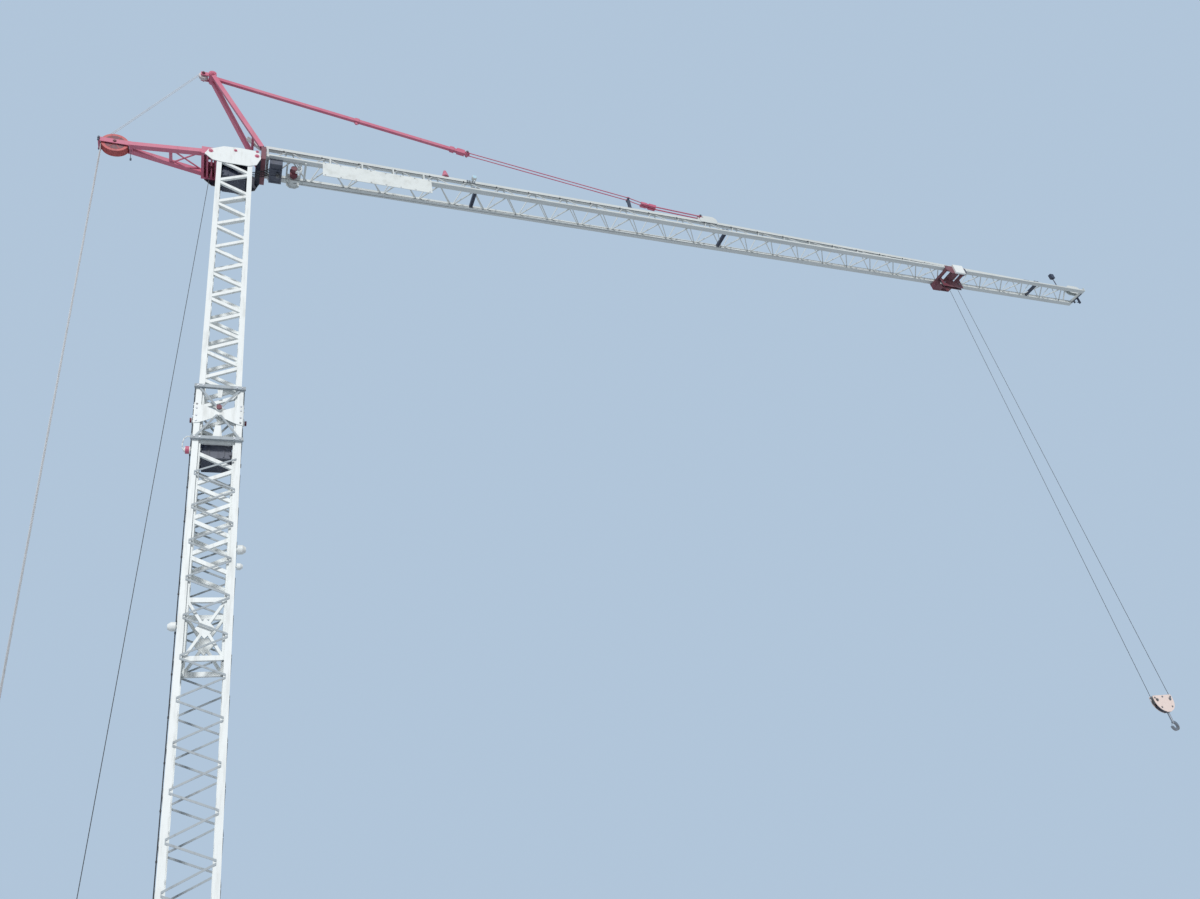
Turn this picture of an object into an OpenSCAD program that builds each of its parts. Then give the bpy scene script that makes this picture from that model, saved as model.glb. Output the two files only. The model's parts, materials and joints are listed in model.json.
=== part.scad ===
// Self-erecting tower crane on outriggers, built at half the size of the real one.
// The origin is on the slewing axis at ground level, +X runs along the jib, +Z is up.

/* [Ground base] */
// Distance between the centres of two neighbouring foot plates
foot_span = 2250; // [2100:10:2400]
// Width of a square foot plate
foot_w = 260; // [220:5:300]
// Thickness of a foot plate
foot_t = 20; // [12:1:30]
// Diameter of an anchor hole in a foot plate
anchor_d = 26; // [18:1:32]
// Distance of an anchor hole from the plate's centre, along each side
anchor_off = 90; // [70:5:95]
// Diameter of a levelling screw
jack_d = 70; // [50:2:90]
// Height of the underside of the outrigger arms
arm_z = 330; // [280:10:400]
// Height of an outrigger arm
arm_h = 200; // [150:10:240]
// Width of an outrigger arm
arm_w = 150; // [120:5:180]
// Diameter of the slewing ring
ring_d = 900; // [800:10:1000]
// Height of the slewing ring
ring_h = 60; // [40:5:80]
// Number of teeth on the slewing ring
ring_teeth = 72; // [60:2:90]

/* [Platform] */
// Thickness of the turntable plate
table_t = 50; // [30:5:60]
// Height of the platform's beams
beam_h = 160; // [120:10:200]
// Width of the platform's beams
beam_w = 110; // [80:5:130]
// Distance of a main beam from the middle of the platform
beam_y = 400; // [395:5:450]
// Length of the platform behind the guys' anchors
platform_tail = 140; // [60:10:240]
// Distance of the platform's front end from the slewing axis
platform_front = 620; // [560:10:700]
// Length of a ballast slab along the platform
slab_l = 560; // [400:10:580]
// Width of a ballast slab
slab_w = 1700; // [1200:20:1900]
// Thickness of a ballast slab
slab_h = 230; // [150:5:260]
// Number of ballast slabs
slab_count = 5; // [3:1:6]
// Length of the control cabinet along the platform
cabinet_l = 420; // [360:10:480]
// Width of the control cabinet
cabinet_w = 260; // [220:10:300]
// Height of the control cabinet
cabinet_h = 900; // [800:20:1000]
// Distance of the control cabinet's front end from the slewing axis
cabinet_x = 680; // [640:10:720]
// Diameter of the hoist winch's drum
drum_d = 260; // [200:10:300]

/* [Mast] */
// Outside width of the upper mast
upper_w = 640; // [600:10:660]
// Width of the square tubes at the upper mast's corners
upper_tube = 88; // [70:2:100]
// Wall of the square tubes at the upper mast's corners
upper_wall = 6; // [4:1:10]
// Width of the upper mast's diagonals
upper_bar = 56; // [40:2:64]
// Height of the upper mast's foot above the ground
upper_low_z = 6000; // [5900:10:6200]
// Height of the upper mast's top above the ground
upper_top_z = 16300; // [16200:10:16400]
// Length along the mast of one turn of the upper mast's lacing
upper_pitch = 595; // [560:5:620]
// Gap between the upper mast and the flanges of the lower mast
mast_gap = 22; // [16:1:28]
// Width of a flange of the lower mast's corner angles
angle_w = 90; // [80:5:110]
// Thickness of the lower mast's corner angles
angle_t = 11; // [8:1:14]
// Width of the lower mast's diagonals
lower_bar = 26; // [20:1:34]
// Thickness of the lower mast's diagonals
lower_bar_t = 10; // [6:1:12]
// Length along the mast of one turn of the lower mast's lacing
lower_pitch = 585; // [560:5:620]
// Height of the lower collar's middle
collar_low_z = 9600; // [9500:10:9700]
// Distance between the two collars of the lower mast's head
collar_gap = 1000; // [900:10:1100]
// Height of a collar's bars
collar_h = 56; // [40:2:70]
// Depth of a collar's bars
collar_d = 46; // [36:2:60]
// Length by which a collar's bars pass the mast's side
collar_end = 30; // [20:2:60]
// Height of a lamp housing on the mast
lamp_w = 140; // [100:5:160]

/* [Mast head] */
// Distance of the head plates' rear end from the mast's axis
head_rear = 545; // [520:5:560]
// Distance of the head plates' front end from the mast's axis
head_front = 470; // [460:5:500]
// Thickness of the head plates
head_t = 14; // [10:1:20]
// Height of the apex above the mast's top
apex_up = 2750; // [2600:10:2900]
// Distance of the apex behind the mast's axis
apex_back = 540; // [480:10:620]
// Width of an apex frame leg
apex_bar = 84; // [70:2:100]
// Distance of the rear strut's sheaves behind the mast's axis
strut_reach = 2112; // [2000:10:2200]
// Width of a rear strut leg
strut_bar = 96; // [80:2:110]
// Diameter of the strut's sheaves
nest_d = 470; // [420:10:500]

/* [Jib] */
// Distance of the jib's root from the mast's axis
jib_root = 560; // [550:5:620]
// Distance of the jib's tip from the mast's axis
jib_tip = 22880; // [22860:20:23100]
// Height of the lower chords' middle above the mast's top
jib_up = 250; // [230:5:270]
// Distance between the middles of the two lower chords
jib_gauge = 490; // [460:5:520]
// Width of the chords' square tubes
chord_w = 80; // [66:2:90]
// Wall of the chords' square tubes
chord_wall = 5; // [3:1:8]
// Height of the jib at its root, between the middles of the chords
jib_h = 530; // [500:5:560]
// Height of the jib at its tip, between the middles of the chords
jib_tip_h = 275; // [260:5:320]
// Distance of the first section joint from the mast's axis
joint_a = 4830; // [4700:10:4950]
// Distance of the second section joint from the mast's axis
joint_b = 11080; // [10950:10:11200]
// Distance of the tip section's frame from the mast's axis
joint_c = 21090; // [20900:10:21300]
// Length along the jib of one turn of the lacing
jib_pitch = 750; // [700:10:800]
// Diameter of the lacing bars
lace_d = 22; // [18:1:30]
// Width of the ledge that the trolley's wheels run on
ledge_w = 34; // [30:1:40]
// Length of the banner
banner_l = 2200; // [2000:50:2400]
// Height of the banner
banner_h = 535; // [440:5:600]
// Distance of the tie's upper coupling from the mast's axis
tie_mid = 4900; // [4800:10:5000]
// Distance of the tie's prop from its upper coupling
prop_after = 3815; // [3700:5:3900]
// Distance of the tie's lower coupling from its prop
coupling_after = 505; // [480:5:540]
// Height of the tie's upper coupling above the middle of the upper chord
tie_rise = 975; // [940:5:1010]
// Height of the tie's prop above the middle of the upper chord
prop_rise = 385; // [360:5:400]
// Distance of the tie's end from the mast's axis
tie_end = 10600; // [10500:10:10700]
// Distance of the trolley's winch from the jib's root
winch_after = 400; // [380:5:430]

/* [Trolley and hook] */
// Distance of the trolley from the mast's axis, as drawn
trolley_x = 18050; // [17000:50:19000]
// Length of the trolley
trolley_l = 680; // [640:10:760]
// Diameter of the trolley's wheels
wheel_d = 76; // [64:2:84]
// Diameter of the hoist sheaves
sheave_d = 200; // [170:5:220]
// Distance between the two rope falls at the trolley
falls_top = 300; // [280:5:340]
// Distance between the two rope falls at the hook block
falls_low = 550; // [520:5:580]
// Height of the hook block's sheaves above the ground, as drawn
block_z = 4700; // [4400:50:5000]
// Thickness of the hook
hook_t = 44; // [36:2:52]
// Diameter of the hoist rope
rope_d = 10; // [8:1:14]

/* [Hidden] */

steel_white = [0.92, 0.93, 0.92];
steel_grey = [0.66, 0.68, 0.70];
faded_red = [0.80, 0.36, 0.42];
dark_red = [0.42, 0.10, 0.13];
rope_grey = [0.35, 0.36, 0.38];
dark_navy = [0.08, 0.10, 0.16];

seat = 0.3;
diagonal_turns = [45, 135, 225, 315];

arm_top = arm_z + arm_h;
ring_top = arm_top + ring_h;
table_z = ring_top + seat;
deck_z = table_z + table_t;
deck_top = deck_z + beam_h;
foot_reach = foot_span / sqrt(2);

upper_half = upper_w / 2;
upper_in = upper_half - upper_tube;
upper_mid = upper_half - upper_tube / 2;
lower_half = upper_half + mast_gap + angle_t;
lower_in = lower_half - angle_w;
mast_foot_h = 60;
lower_low_z = deck_top + mast_foot_h;
collar_top_z = collar_low_z + collar_gap;
lower_top_z = collar_top_z + collar_h / 2;
collar_half = lower_half + collar_d;
collar_side = 16;

chord_half = chord_w / 2;
gauge_half = jib_gauge / 2;
jib_z = upper_top_z + jib_up;
jib_top_z = jib_z + jib_h;
jib_slope = atan2(jib_h - jib_tip_h, jib_tip - joint_b);
apex_z = upper_top_z + apex_up;

// Square tube with its axis along Z, standing on z = 0
module tube(w, wall, h) {
    difference() {
        translate([-w / 2, -w / 2, 0]) cube([w, w, h]);
        translate([-w / 2 + wall, -w / 2 + wall, -1]) cube([w - 2 * wall, w - 2 * wall, h + 2]);
    }
}

// Box given by its middle in Y and its lowest corner in X and Z
module beam(x0, x1, y, w, z0, z1) {
    translate([x0, y - w / 2, z0]) cube([x1 - x0, w, z1 - z0]);
}

// Moves what stands along Z so that it runs from point a towards point b
module along(a, b) {
    v = b - a;
    translate(a) rotate([0, acos(v[2] / norm(v)), atan2(v[1], v[0])]) children();
}

// Round bar of a few flats, or a smooth one, from point a to point b
module bar(a, b, d, sides = 8) {
    along(a, b) cylinder(h = norm(b - a), d = d, $fn = sides);
}

// Square bar from point a to point b, with two faces upright
module square_bar(a, b, w) {
    along(a, b) translate([-w / 2, -w / 2, 0]) cube([w, w, norm(b - a)]);
}

// Radius at the bottom of a sheave's groove
function groove_r(d, w) = d / 2 - 0.32 * w;

// Rope sheave with its axis along Y
module sheave(d, w, bore_d) {
    rim = 0.1 * w;
    rotate([90, 0, 0]) rotate_extrude($fn = 48) polygon([
        [bore_d / 2, -w / 2], [d / 2, -w / 2], [d / 2, -w / 2 + rim],
        [groove_r(d, w), -0.2 * w], [groove_r(d, w), 0.2 * w],
        [d / 2, w / 2 - rim], [d / 2, w / 2], [bore_d / 2, w / 2]
    ]);
}

// Flat plate in the XZ plane, from y to y + t
module plate_xz(points, y, t) {
    translate([0, y + t, 0]) rotate([90, 0, 0]) linear_extrude(t) polygon(points);
}

// Rectangle with round corners, centred
module round_rect(w, h, r) {
    square([w - 2 * r, h], center = true);
    square([w, h - 2 * r], center = true);
    for (x = [-1, 1], y = [-1, 1])
        translate([x * (w / 2 - r), y * (h / 2 - r)]) circle(r, $fn = 32);
}

// One side of a mast's zigzag lacing, in the XZ plane, outer face at y = 0 and depth t behind it
module mast_lacing(half, z_low, z_top, pitch, first, w, t, gap) {
    run = 2 * half;
    tall = w / cos(atan2(pitch / 2, run));
    ecc = (tall + gap) / 2;
    turns = floor((first - z_low) / pitch) + 1;
    for (k = [-1 : turns]) {
        left = first - k * pitch;
        right = left + pitch / 2;
        next = left - pitch / 2;
        if (right + tall < z_top && left - tall > z_low)
            lacing_bar(half, left + ecc, right - ecc, tall, t);
        if (left + tall < z_top && next - tall > z_low)
            lacing_bar(half, left - ecc, next + ecc, tall, t);
    }
}

module lacing_bar(half, z_left, z_right, tall, t) {
    plate_xz([
        [-half, z_left - tall / 2], [half, z_right - tall / 2],
        [half, z_right + tall / 2], [-half, z_left + tall / 2]
    ], 0, t);
}

// Places a piece of the near side on one of the mast's four sides
module on_side(side, half) {
    rotate([0, 0, side]) translate([0, -half, 0]) children();
}

// Ground base

module foot_plates() {
    color(steel_grey)
    for (a = diagonal_turns)
        rotate([0, 0, a]) translate([foot_reach, 0, 0]) rotate([0, 0, -45])
            difference() {
                translate([-foot_w / 2, -foot_w / 2, 0]) cube([foot_w, foot_w, foot_t]);
                for (s = [-1, 1])
                    translate([s * anchor_off, s * anchor_off, -1]) cylinder(h = foot_t + 2, d = anchor_d, $fn = 32);
            }
}

jack_top = arm_top + 110;
jack_clear = 0.4;

module jack_screws() {
    color(steel_grey)
    for (a = diagonal_turns)
        rotate([0, 0, a]) translate([foot_reach, 0, 0]) {
            translate([0, 0, foot_t]) cylinder(h = 30, d = jack_d * 1.7, $fn = 32);
            translate([0, 0, foot_t]) cylinder(h = jack_top - foot_t, d = jack_d, $fn = 32);
            translate([0, 0, jack_top - 30]) cylinder(h = 30, d = jack_d * 1.3, $fn = 6);
        }
}

module chassis_frame() {
    sleeve_d = max(jack_d + 60, arm_w + 20);
    color(faded_red)
    difference() {
        union() {
            translate([0, 0, arm_z]) cylinder(h = arm_h, d = ring_d, $fn = 64);
            for (a = diagonal_turns) rotate([0, 0, a]) {
                beam(ring_d * 0.35, foot_reach, 0, arm_w, arm_z, arm_top);
                translate([foot_reach, 0, arm_z - 30]) cylinder(h = arm_h + 60, d = sleeve_d, $fn = 32);
            }
        }
        for (a = diagonal_turns)
            rotate([0, 0, a]) translate([foot_reach, 0, arm_z - 40])
                cylinder(h = arm_h + 80, d = jack_d + 2 * jack_clear, $fn = 32);
        translate([0, 0, arm_z - 1]) cylinder(h = arm_h + 2, d = ring_d * 0.55, $fn = 64);
    }
}

module slewing_ring() {
    tooth = PI * ring_d / ring_teeth / 2;
    color(steel_grey)
    translate([0, 0, arm_top]) difference() {
        union() {
            cylinder(h = ring_h, d = ring_d - 30, $fn = 64);
            for (k = [0 : ring_teeth - 1])
                rotate([0, 0, k * 360 / ring_teeth]) translate([ring_d / 2 - 20, -tooth / 2, 0])
                    cube([20, tooth, ring_h * 0.6]);
        }
        translate([0, 0, -1]) cylinder(h = ring_h + 2, d = ring_d * 0.72, $fn = 64);
    }
}

// Slewing platform

module turntable() {
    color(steel_grey)
    translate([0, 0, table_z]) difference() {
        cylinder(h = table_t, d = ring_d + 40, $fn = 64);
        translate([0, 0, -1]) cylinder(h = table_t + 2, d = ring_d * 0.55, $fn = 64);
    }
}

nest_w = 32;
guy_low_z = deck_top + 60;
anchor_x = strut_reach + groove_r(nest_d, nest_w) + rope_d / 2 + seat;
platform_rear = anchor_x + platform_tail;
slab_x = anchor_x - 100 - slab_l;
winch_x = slab_x - 230;

module platform_frame() {
    color(faded_red) {
        for (s = [-1, 1])
            beam(-platform_rear, platform_front, s * beam_y, beam_w, deck_z, deck_top);
        for (x = [-platform_rear, -slab_x - slab_l / 2, -winch_x - 180, -winch_x + 90, -500, 410, platform_front - 80])
            translate([x, -beam_y, deck_z + 10]) cube([80, 2 * beam_y, beam_h - 20]);
        translate([-anchor_x - 40, -beam_y, deck_z + 10]) cube([80, 2 * beam_y, beam_h - 10]);
        for (s = [-1, 1])
            beam(-anchor_x - 40, -anchor_x + 40, s * 90, 16, deck_top, deck_top + 120);
        beam(-anchor_x - 20, -anchor_x + 20, 0, 180, deck_top + 20, guy_low_z);
    }
}

module ballast_slabs() {
    color([0.62, 0.61, 0.58])
    for (k = [0 : slab_count - 1])
        translate([-slab_x - slab_l, -slab_w / 2, deck_top + k * (slab_h + seat)]) cube([slab_l, slab_w, slab_h]);
}

winch_z = deck_top + 330;

module hoist_winch() {
    cheek = drum_d * 0.75;
    color(steel_grey) {
        beam(-winch_x - 180, -winch_x + 170, 0, 520, deck_top - 10, deck_top);
        for (y = [-260, 240])
            translate([-winch_x - cheek / 2, y, deck_top]) cube([cheek, 20, winch_z - deck_top + cheek / 2]);
        translate([-winch_x, 240, winch_z]) rotate([90, 0, 0]) cylinder(h = 480, d = drum_d, $fn = 48);
        translate([-winch_x, 400, winch_z]) rotate([90, 0, 0]) cylinder(h = 140, d = 200, $fn = 32);
        for (y = [-240, 220])
            translate([-winch_x, y + 20, winch_z]) rotate([90, 0, 0]) cylinder(h = 20, d = drum_d + 90, $fn = 48);
    }
}

module control_cabinet() {
    color(steel_white)
    translate([-cabinet_x - cabinet_l, -beam_y - beam_w / 2, deck_top]) cube([cabinet_l, cabinet_w, cabinet_h]);
}

// Lower mast

module lower_mast_foot() {
    w = lower_half + 50;
    color(steel_white)
    translate([0, 0, deck_top]) difference() {
        translate([-w, -w, 0]) cube([2 * w, 2 * w, mast_foot_h]);
        translate([-lower_in, -lower_in, -1]) cube([2 * lower_in, 2 * lower_in, mast_foot_h + 2]);
    }
}

module lower_mast_legs() {
    h = lower_top_z - lower_low_z;
    color(steel_white)
    for (a = [0 : 90 : 270])
        rotate([0, 0, a]) translate([-lower_half, -lower_half, lower_low_z]) difference() {
            cube([angle_w, angle_w, h]);
            translate([angle_t, angle_t, -1]) cube([angle_w, angle_w, h + 2]);
        }
}

lower_first = collar_low_z - 630;

module lower_lacing(side, first) {
    overlap = 30;
    color(steel_grey)
    on_side(side, lower_half + lower_bar_t)
        mast_lacing(lower_in + overlap, lower_low_z + 20, collar_low_z - collar_h / 2 - 10,
            lower_pitch, first, lower_bar, lower_bar_t, 8);
}

module lower_mast_near_lacing() lower_lacing(0, lower_first);
module lower_mast_far_lacing() lower_lacing(180, lower_first - lower_pitch / 2);
module lower_mast_rear_lacing() lower_lacing(270, lower_first - lower_pitch / 2);
module lower_mast_front_lacing() lower_lacing(90, lower_first);

// Collar of four bars round the lower mast, the near and far ones longer
module collar(z) {
    side_half = lower_half + collar_side;
    translate([0, 0, z - collar_h / 2]) difference() {
        union() {
            translate([-side_half, -collar_half, 0]) cube([2 * side_half, 2 * collar_half, collar_h]);
            for (s = [-1, 1])
                beam(-lower_half - collar_end, lower_half + collar_end,
                    s * (lower_half + collar_d / 2), collar_d, 0, collar_h);
        }
        translate([-lower_half, -lower_half, -1]) cube([2 * lower_half, 2 * lower_half, collar_h + 2]);
    }
}

module mast_collars() {
    color(steel_grey) {
        collar(collar_low_z);
        collar(collar_top_z);
    }
}

plate_t = 12;
brace_t = 8;
boss_d = 100;
pin_d = 66;
collar_low = collar_low_z + collar_h / 2;
collar_high = collar_top_z - collar_h / 2;
collar_mid = (collar_low + collar_high) / 2;
pin_z = collar_mid + 0.08 * collar_gap;

// Two side gussets, a web with the pin's boss, and a tab under and over them
module collar_plate() {
    difference() {
        union() {
            for (s = [-1, 1])
                plate_xz([
                    [s * lower_half, collar_mid - 215], [s * lower_half, collar_mid + 185],
                    [s * (lower_half - 80), collar_mid + 150], [s * 12, collar_mid + 30],
                    [s * 12, collar_mid - 70], [s * (lower_half - 80), collar_mid - 200]
                ], 0, plate_t);
            plate_xz([[-22, collar_mid - 50], [22, collar_mid - 50], [22, pin_z], [-22, pin_z]], 0, plate_t);
            translate([0, plate_t, pin_z]) rotate([90, 0, 0]) cylinder(h = plate_t + 30, d = boss_d, $fn = 32);
            plate_xz([[-70, collar_low], [70, collar_low], [40, collar_low + 230], [-40, collar_low + 230]], 0, plate_t);
            plate_xz([[-40, collar_high], [-26, collar_high - 170], [26, collar_high - 170], [40, collar_high]], 0, plate_t);
        }
        translate([0, plate_t + 1, pin_z]) rotate([90, 0, 0])
            cylinder(h = plate_t + 60, d = pin_d + 2 * jack_clear, $fn = 32);
    }
}

module collar_plates() {
    color(steel_white)
    for (a = [0 : 90 : 270])
        on_side(a, lower_half + plate_t) collar_plate();
}

// Thin bars from the middle of a side to the corners between the collars
module collar_braces() {
    w = 13;
    color(steel_grey)
    for (a = [0 : 90 : 270])
        on_side(a, lower_half + plate_t + brace_t)
            difference() {
                for (s = [-1, 1]) {
                    plate_xz([
                        [s * 40, pin_z + 20], [s * 14, pin_z + 40],
                        [s * (lower_half - 60 - w), collar_high], [s * (lower_half - 60 + 2 * w), collar_high]
                    ], 0, brace_t);
                    plate_xz([
                        [s * 6, collar_mid - 40], [s * 42, collar_mid - 40],
                        [s * (lower_half - 30 + w), collar_low], [s * (lower_half - 30 - 2 * w), collar_low]
                    ], 0, brace_t);
                }
                translate([0, brace_t + 1, pin_z]) rotate([90, 0, 0])
                    cylinder(h = brace_t + 2, d = boss_d + 2 * seat, $fn = 32);
            }
}

module collar_pins() {
    color(dark_red)
    for (a = [0 : 90 : 270])
        on_side(a, lower_half + plate_t)
            translate([0, plate_t, pin_z]) rotate([90, 0, 0]) {
                cylinder(h = plate_t + 60, d = pin_d, $fn = 32);
                translate([0, 0, plate_t + 36]) cylinder(h = 24, d = pin_d + 16, $fn = 24);
            }
}

// Slide blocks in the lower mast's corners that guide the upper mast
module guide_pads() {
    pad_h = 160;
    pad_t = mast_gap - seat;
    color([0.12, 0.12, 0.13])
    for (z = [collar_low_z, collar_top_z - pad_h / 2], a = [0 : 90 : 270])
        rotate([0, 0, a]) translate([-upper_half - mast_gap, -upper_half, z - pad_h / 2])
            cube([pad_t, angle_w - angle_t - mast_gap - 4, pad_h]);
}

// Lamps on short brackets at the lower mast's near corners: side, place down the mast and size
module mast_lamps() {
    color(steel_white)
    for (p = [[1, 3.26, 1], [1, 3.73, 0.7], [-1, 5.3, 0.9], [-1, 0.34, 0.8]])
        translate([p[0] * lower_half, -lower_half + angle_w / 2, collar_low_z - p[1] * lower_pitch])
            rotate([0, p[0] * 90, 0]) {
                cylinder(h = 20, d = p[2] * lamp_w * 0.35, $fn = 16);
                translate([0, 0, 15]) cylinder(h = p[2] * lamp_w * 0.5, d = p[2] * lamp_w, $fn = 24);
                translate([0, 0, 15 + p[2] * lamp_w * 0.5])
                    cylinder(h = p[2] * lamp_w * 0.3, d1 = p[2] * lamp_w, d2 = p[2] * lamp_w * 0.6, $fn = 24);
            }
}

// Ropes between the platform and the mast head

// Direction from the middle of a circle to the point where the tangent it shares with a second one meets it
function touch(a, ra, b, rb) =
    let (v = b - a, turn = atan2(v[1], v[0]) + acos((ra - rb) / norm(v)))
    [cos(turn), sin(turn)];

strut_z = upper_top_z + 150;
guy_rows = [-54, -18, 18, 54];

module guy_ropes() {
    color(rope_grey)
    for (y = guy_rows)
        translate([-anchor_x, y, guy_low_z]) cylinder(h = strut_z - guy_low_z, d = rope_d, $fn = 8);
}

rope_off = rope_d / 2 + seat;
head_sheave_d = 200;
head_sheave_w = 50;
head_sheave = [-315, upper_top_z + 260];
hoist_side = touch([-winch_x, winch_z], -drum_d / 2 - rope_off, head_sheave, groove_r(head_sheave_d, head_sheave_w) + rope_off);

module hoist_rope() {
    low = [-winch_x, winch_z] - (drum_d / 2 + rope_off) * hoist_side;
    top = head_sheave + (groove_r(head_sheave_d, head_sheave_w) + rope_off) * hoist_side;
    color(rope_grey)
    bar([low[0], 0, low[1]], [top[0], 0, top[1]], rope_d);
}

// Upper mast

module upper_mast_tubes() {
    color(steel_white)
    for (x = [-1, 1], y = [-1, 1])
        translate([x * upper_mid, y * upper_mid, upper_low_z]) tube(upper_tube, upper_wall, upper_top_z - upper_low_z);
}

upper_first = upper_top_z - 735;
foot_first = collar_low_z - 820;
splice_z = collar_low_z - 20;
upper_foot_h = 930;
lacing_in = 6;
head_low_z = upper_top_z - 225;

module upper_lacing(side, shift) {
    color(steel_white)
    on_side(side, upper_half - lacing_in) {
        mast_lacing(upper_in, splice_z, head_low_z + 160, upper_pitch, upper_first - shift, upper_bar, 44, 10);
        mast_lacing(upper_in, upper_low_z + upper_foot_h, splice_z, upper_pitch, foot_first - shift, upper_bar, 44, 10);
        plate_xz([[-upper_in, splice_z - 35], [upper_in, splice_z - 35],
            [upper_in, splice_z + 35], [-upper_in, splice_z + 35]], 0, 44);
    }
}

module upper_mast_near_lacing() upper_lacing(0, 0);
module upper_mast_far_lacing() upper_lacing(180, upper_pitch / 2);
module upper_mast_rear_lacing() upper_lacing(270, upper_pitch / 2);
module upper_mast_front_lacing() upper_lacing(90, 0);

// Rails, a cross and its gusset at the foot of one side of the upper mast
module foot_side() {
    rail = 70;
    w = 38;
    z0 = upper_low_z;
    z1 = upper_low_z + upper_foot_h;
    mid = (z0 + z1) / 2;
    plate_xz([[-upper_in, z0], [upper_in, z0], [upper_in, z0 + rail], [-upper_in, z0 + rail]], 0, 44);
    plate_xz([[-upper_in, z1 - rail], [upper_in, z1 - rail], [upper_in, z1], [-upper_in, z1]], 0, 44);
    for (s = [-1, 1])
        plate_xz([
            [-upper_in, mid - s * (mid - z0 - rail) - w * s], [-upper_in, mid - s * (mid - z0 - rail) + w * s],
            [upper_in, mid + s * (mid - z0 - rail) + w * s], [upper_in, mid + s * (mid - z0 - rail) - w * s]
        ], 0, 44);
    plate_xz([[-130, mid], [0, mid - 150], [130, mid], [0, mid + 150]], 0, 44);
}

module upper_mast_foot() {
    color(steel_white)
    for (a = [0 : 90 : 270])
        on_side(a, upper_half - lacing_in) foot_side();
}

// Mast head

head_points = [
    [-head_rear, head_low_z + 170], [-head_rear + 60, head_low_z + 305], [-head_rear + 330, head_low_z + 460],
    [90, head_low_z + 485], [head_front - 85, head_low_z + 470], [head_front - 20, head_low_z + 400],
    [head_front, head_low_z + 275], [head_front - 75, head_low_z + 70], [head_front - 220, head_low_z],
    [-205, head_low_z], [-head_rear + 140, head_low_z + 30]
];

module mast_head() {
    color(steel_white) {
        for (y = [-upper_half - head_t, upper_half])
            plate_xz(head_points, y, head_t);
        translate([-upper_half, -upper_half, upper_top_z]) cube([upper_w, upper_w, 16]);
        beam(head_front - 90, head_front, 0, upper_w, upper_top_z + 16, upper_top_z + 150);
        for (y = [-52, 40])
            plate_xz([[-upper_half, upper_top_z + 16], [-120, upper_top_z + 16], [head_sheave[0] + 55, head_sheave[1] + 60],
                [head_sheave[0] - 55, head_sheave[1] + 60], [head_sheave[0] - 55, head_sheave[1] - 60],
                [-upper_half, head_sheave[1] - 80]], y, 12);
        translate([tube_at[0], 35, tube_at[2]]) rotate([90, 0, 0]) linear_extrude(70) rotate(-42)
            translate([0, 25 + seat + 32]) round_rect(390, 64, 28);
    }
}

apex_boss_d = 150;
apex_sheave_d = 180;
apex_sheave_x = (apex_boss_d + apex_sheave_d) / 2 + 12;
strut_root = -head_rear - 60;
nest_half = 90;
nest_t = 14;

// Planar A of two legs behind the mast, with its ribbed root frame and the straps of the sheave nest
module rear_strut() {
    tip = [-strut_reach + nest_d / 2, 0, strut_z];
    root_x = strut_root + 20;
    root_z = upper_top_z + 60;
    rung_x = -1150;
    reach = (root_x - rung_x) / (root_x - tip[0]);
    rung_y = 250 - reach * (250 - nest_half + 30);
    rung_z = root_z + reach * (tip[2] - root_z);
    color(faded_red) {
        difference() {
            union() {
                difference() {
                    beam(strut_root, -upper_half - 15, 0, upper_w, upper_top_z - 40, upper_top_z + 150);
                    for (k = [0 : 2])
                        beam(strut_root + 50 + k * 75, strut_root + 95 + k * 75, 0, upper_w - 80,
                            upper_top_z - 41, upper_top_z + 138);
                }
                for (s = [-1, 1]) {
                    square_bar([root_x, s * -250, root_z], [tip[0], s * (30 - nest_half), tip[2]], strut_bar);
                    square_bar([rung_x, s * -rung_y, rung_z], [strut_root + 25, s * 230, root_z + 40], 22);
                    translate([-strut_reach, s * (nest_half + nest_t / 2) + nest_t / 2, strut_z])
                        rotate([90, 0, 0]) linear_extrude(nest_t) round_rect(nest_d + 90, 110, 50);
                }
                square_bar([rung_x, -rung_y, rung_z], [rung_x, rung_y, rung_z], 56);
                beam(tip[0] - 10, tip[0] + 70, 0, 2 * nest_half + 2 * nest_t, strut_z - 60, strut_z + 60);
            }
            beam(-strut_reach - nest_d, tip[0] + 12, 0, 2 * nest_half, strut_z - 400, strut_z + 400);
            beam(-upper_half - 165, -upper_half - 65, 0, 60, upper_top_z - 60, upper_top_z + 200);
            translate([-strut_reach, nest_half + nest_t + 1, strut_z]) rotate([90, 0, 0])
                cylinder(h = 2 * nest_half + 2 * nest_t + 2, d = 60 + 2 * jack_clear, $fn = 32);
        }
        beam(-strut_reach - nest_d / 2 - 45, -strut_reach - nest_d / 2 - 15, 0, 2 * nest_half + nest_t,
            strut_z - 50, strut_z + 50);
    }
}

module guy_sheaves() {
    color(dark_red) {
        for (y = guy_rows)
            translate([-strut_reach, y, strut_z]) sheave(nest_d, nest_w, 50);
        translate([-strut_reach, nest_half + nest_t, strut_z]) rotate([90, 0, 0])
            cylinder(h = 2 * nest_half + 2 * nest_t, d = 60, $fn = 32);
    }
    color(steel_white) {
        translate([-apex_back - apex_sheave_x, 0, apex_z]) {
            for (y = [-18, 18])
                translate([0, y, 0]) sheave(apex_sheave_d, nest_w, 30);
            translate([0, 90, 0]) rotate([90, 0, 0]) cylinder(h = 180, d = 40, $fn = 32);
        }
        translate([head_sheave[0], 0, head_sheave[1]]) {
            sheave(head_sheave_d, head_sheave_w, 30);
            translate([0, 40, 0]) rotate([90, 0, 0]) cylinder(h = 80, d = 40, $fn = 32);
        }
    }
}

apex_foot_x = head_front + 15;
apex_foot_z = upper_top_z + 425;
apex_foot_y = 290;

// Point on the far leg of the apex frame, at the share t of its length
function leg_at(t) = [
    apex_foot_x - t * (apex_foot_x + apex_back), apex_foot_y - t * (apex_foot_y - 78),
    apex_foot_z + t * (apex_z - apex_foot_z)
];

tube_at = leg_at(0.175);

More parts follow.
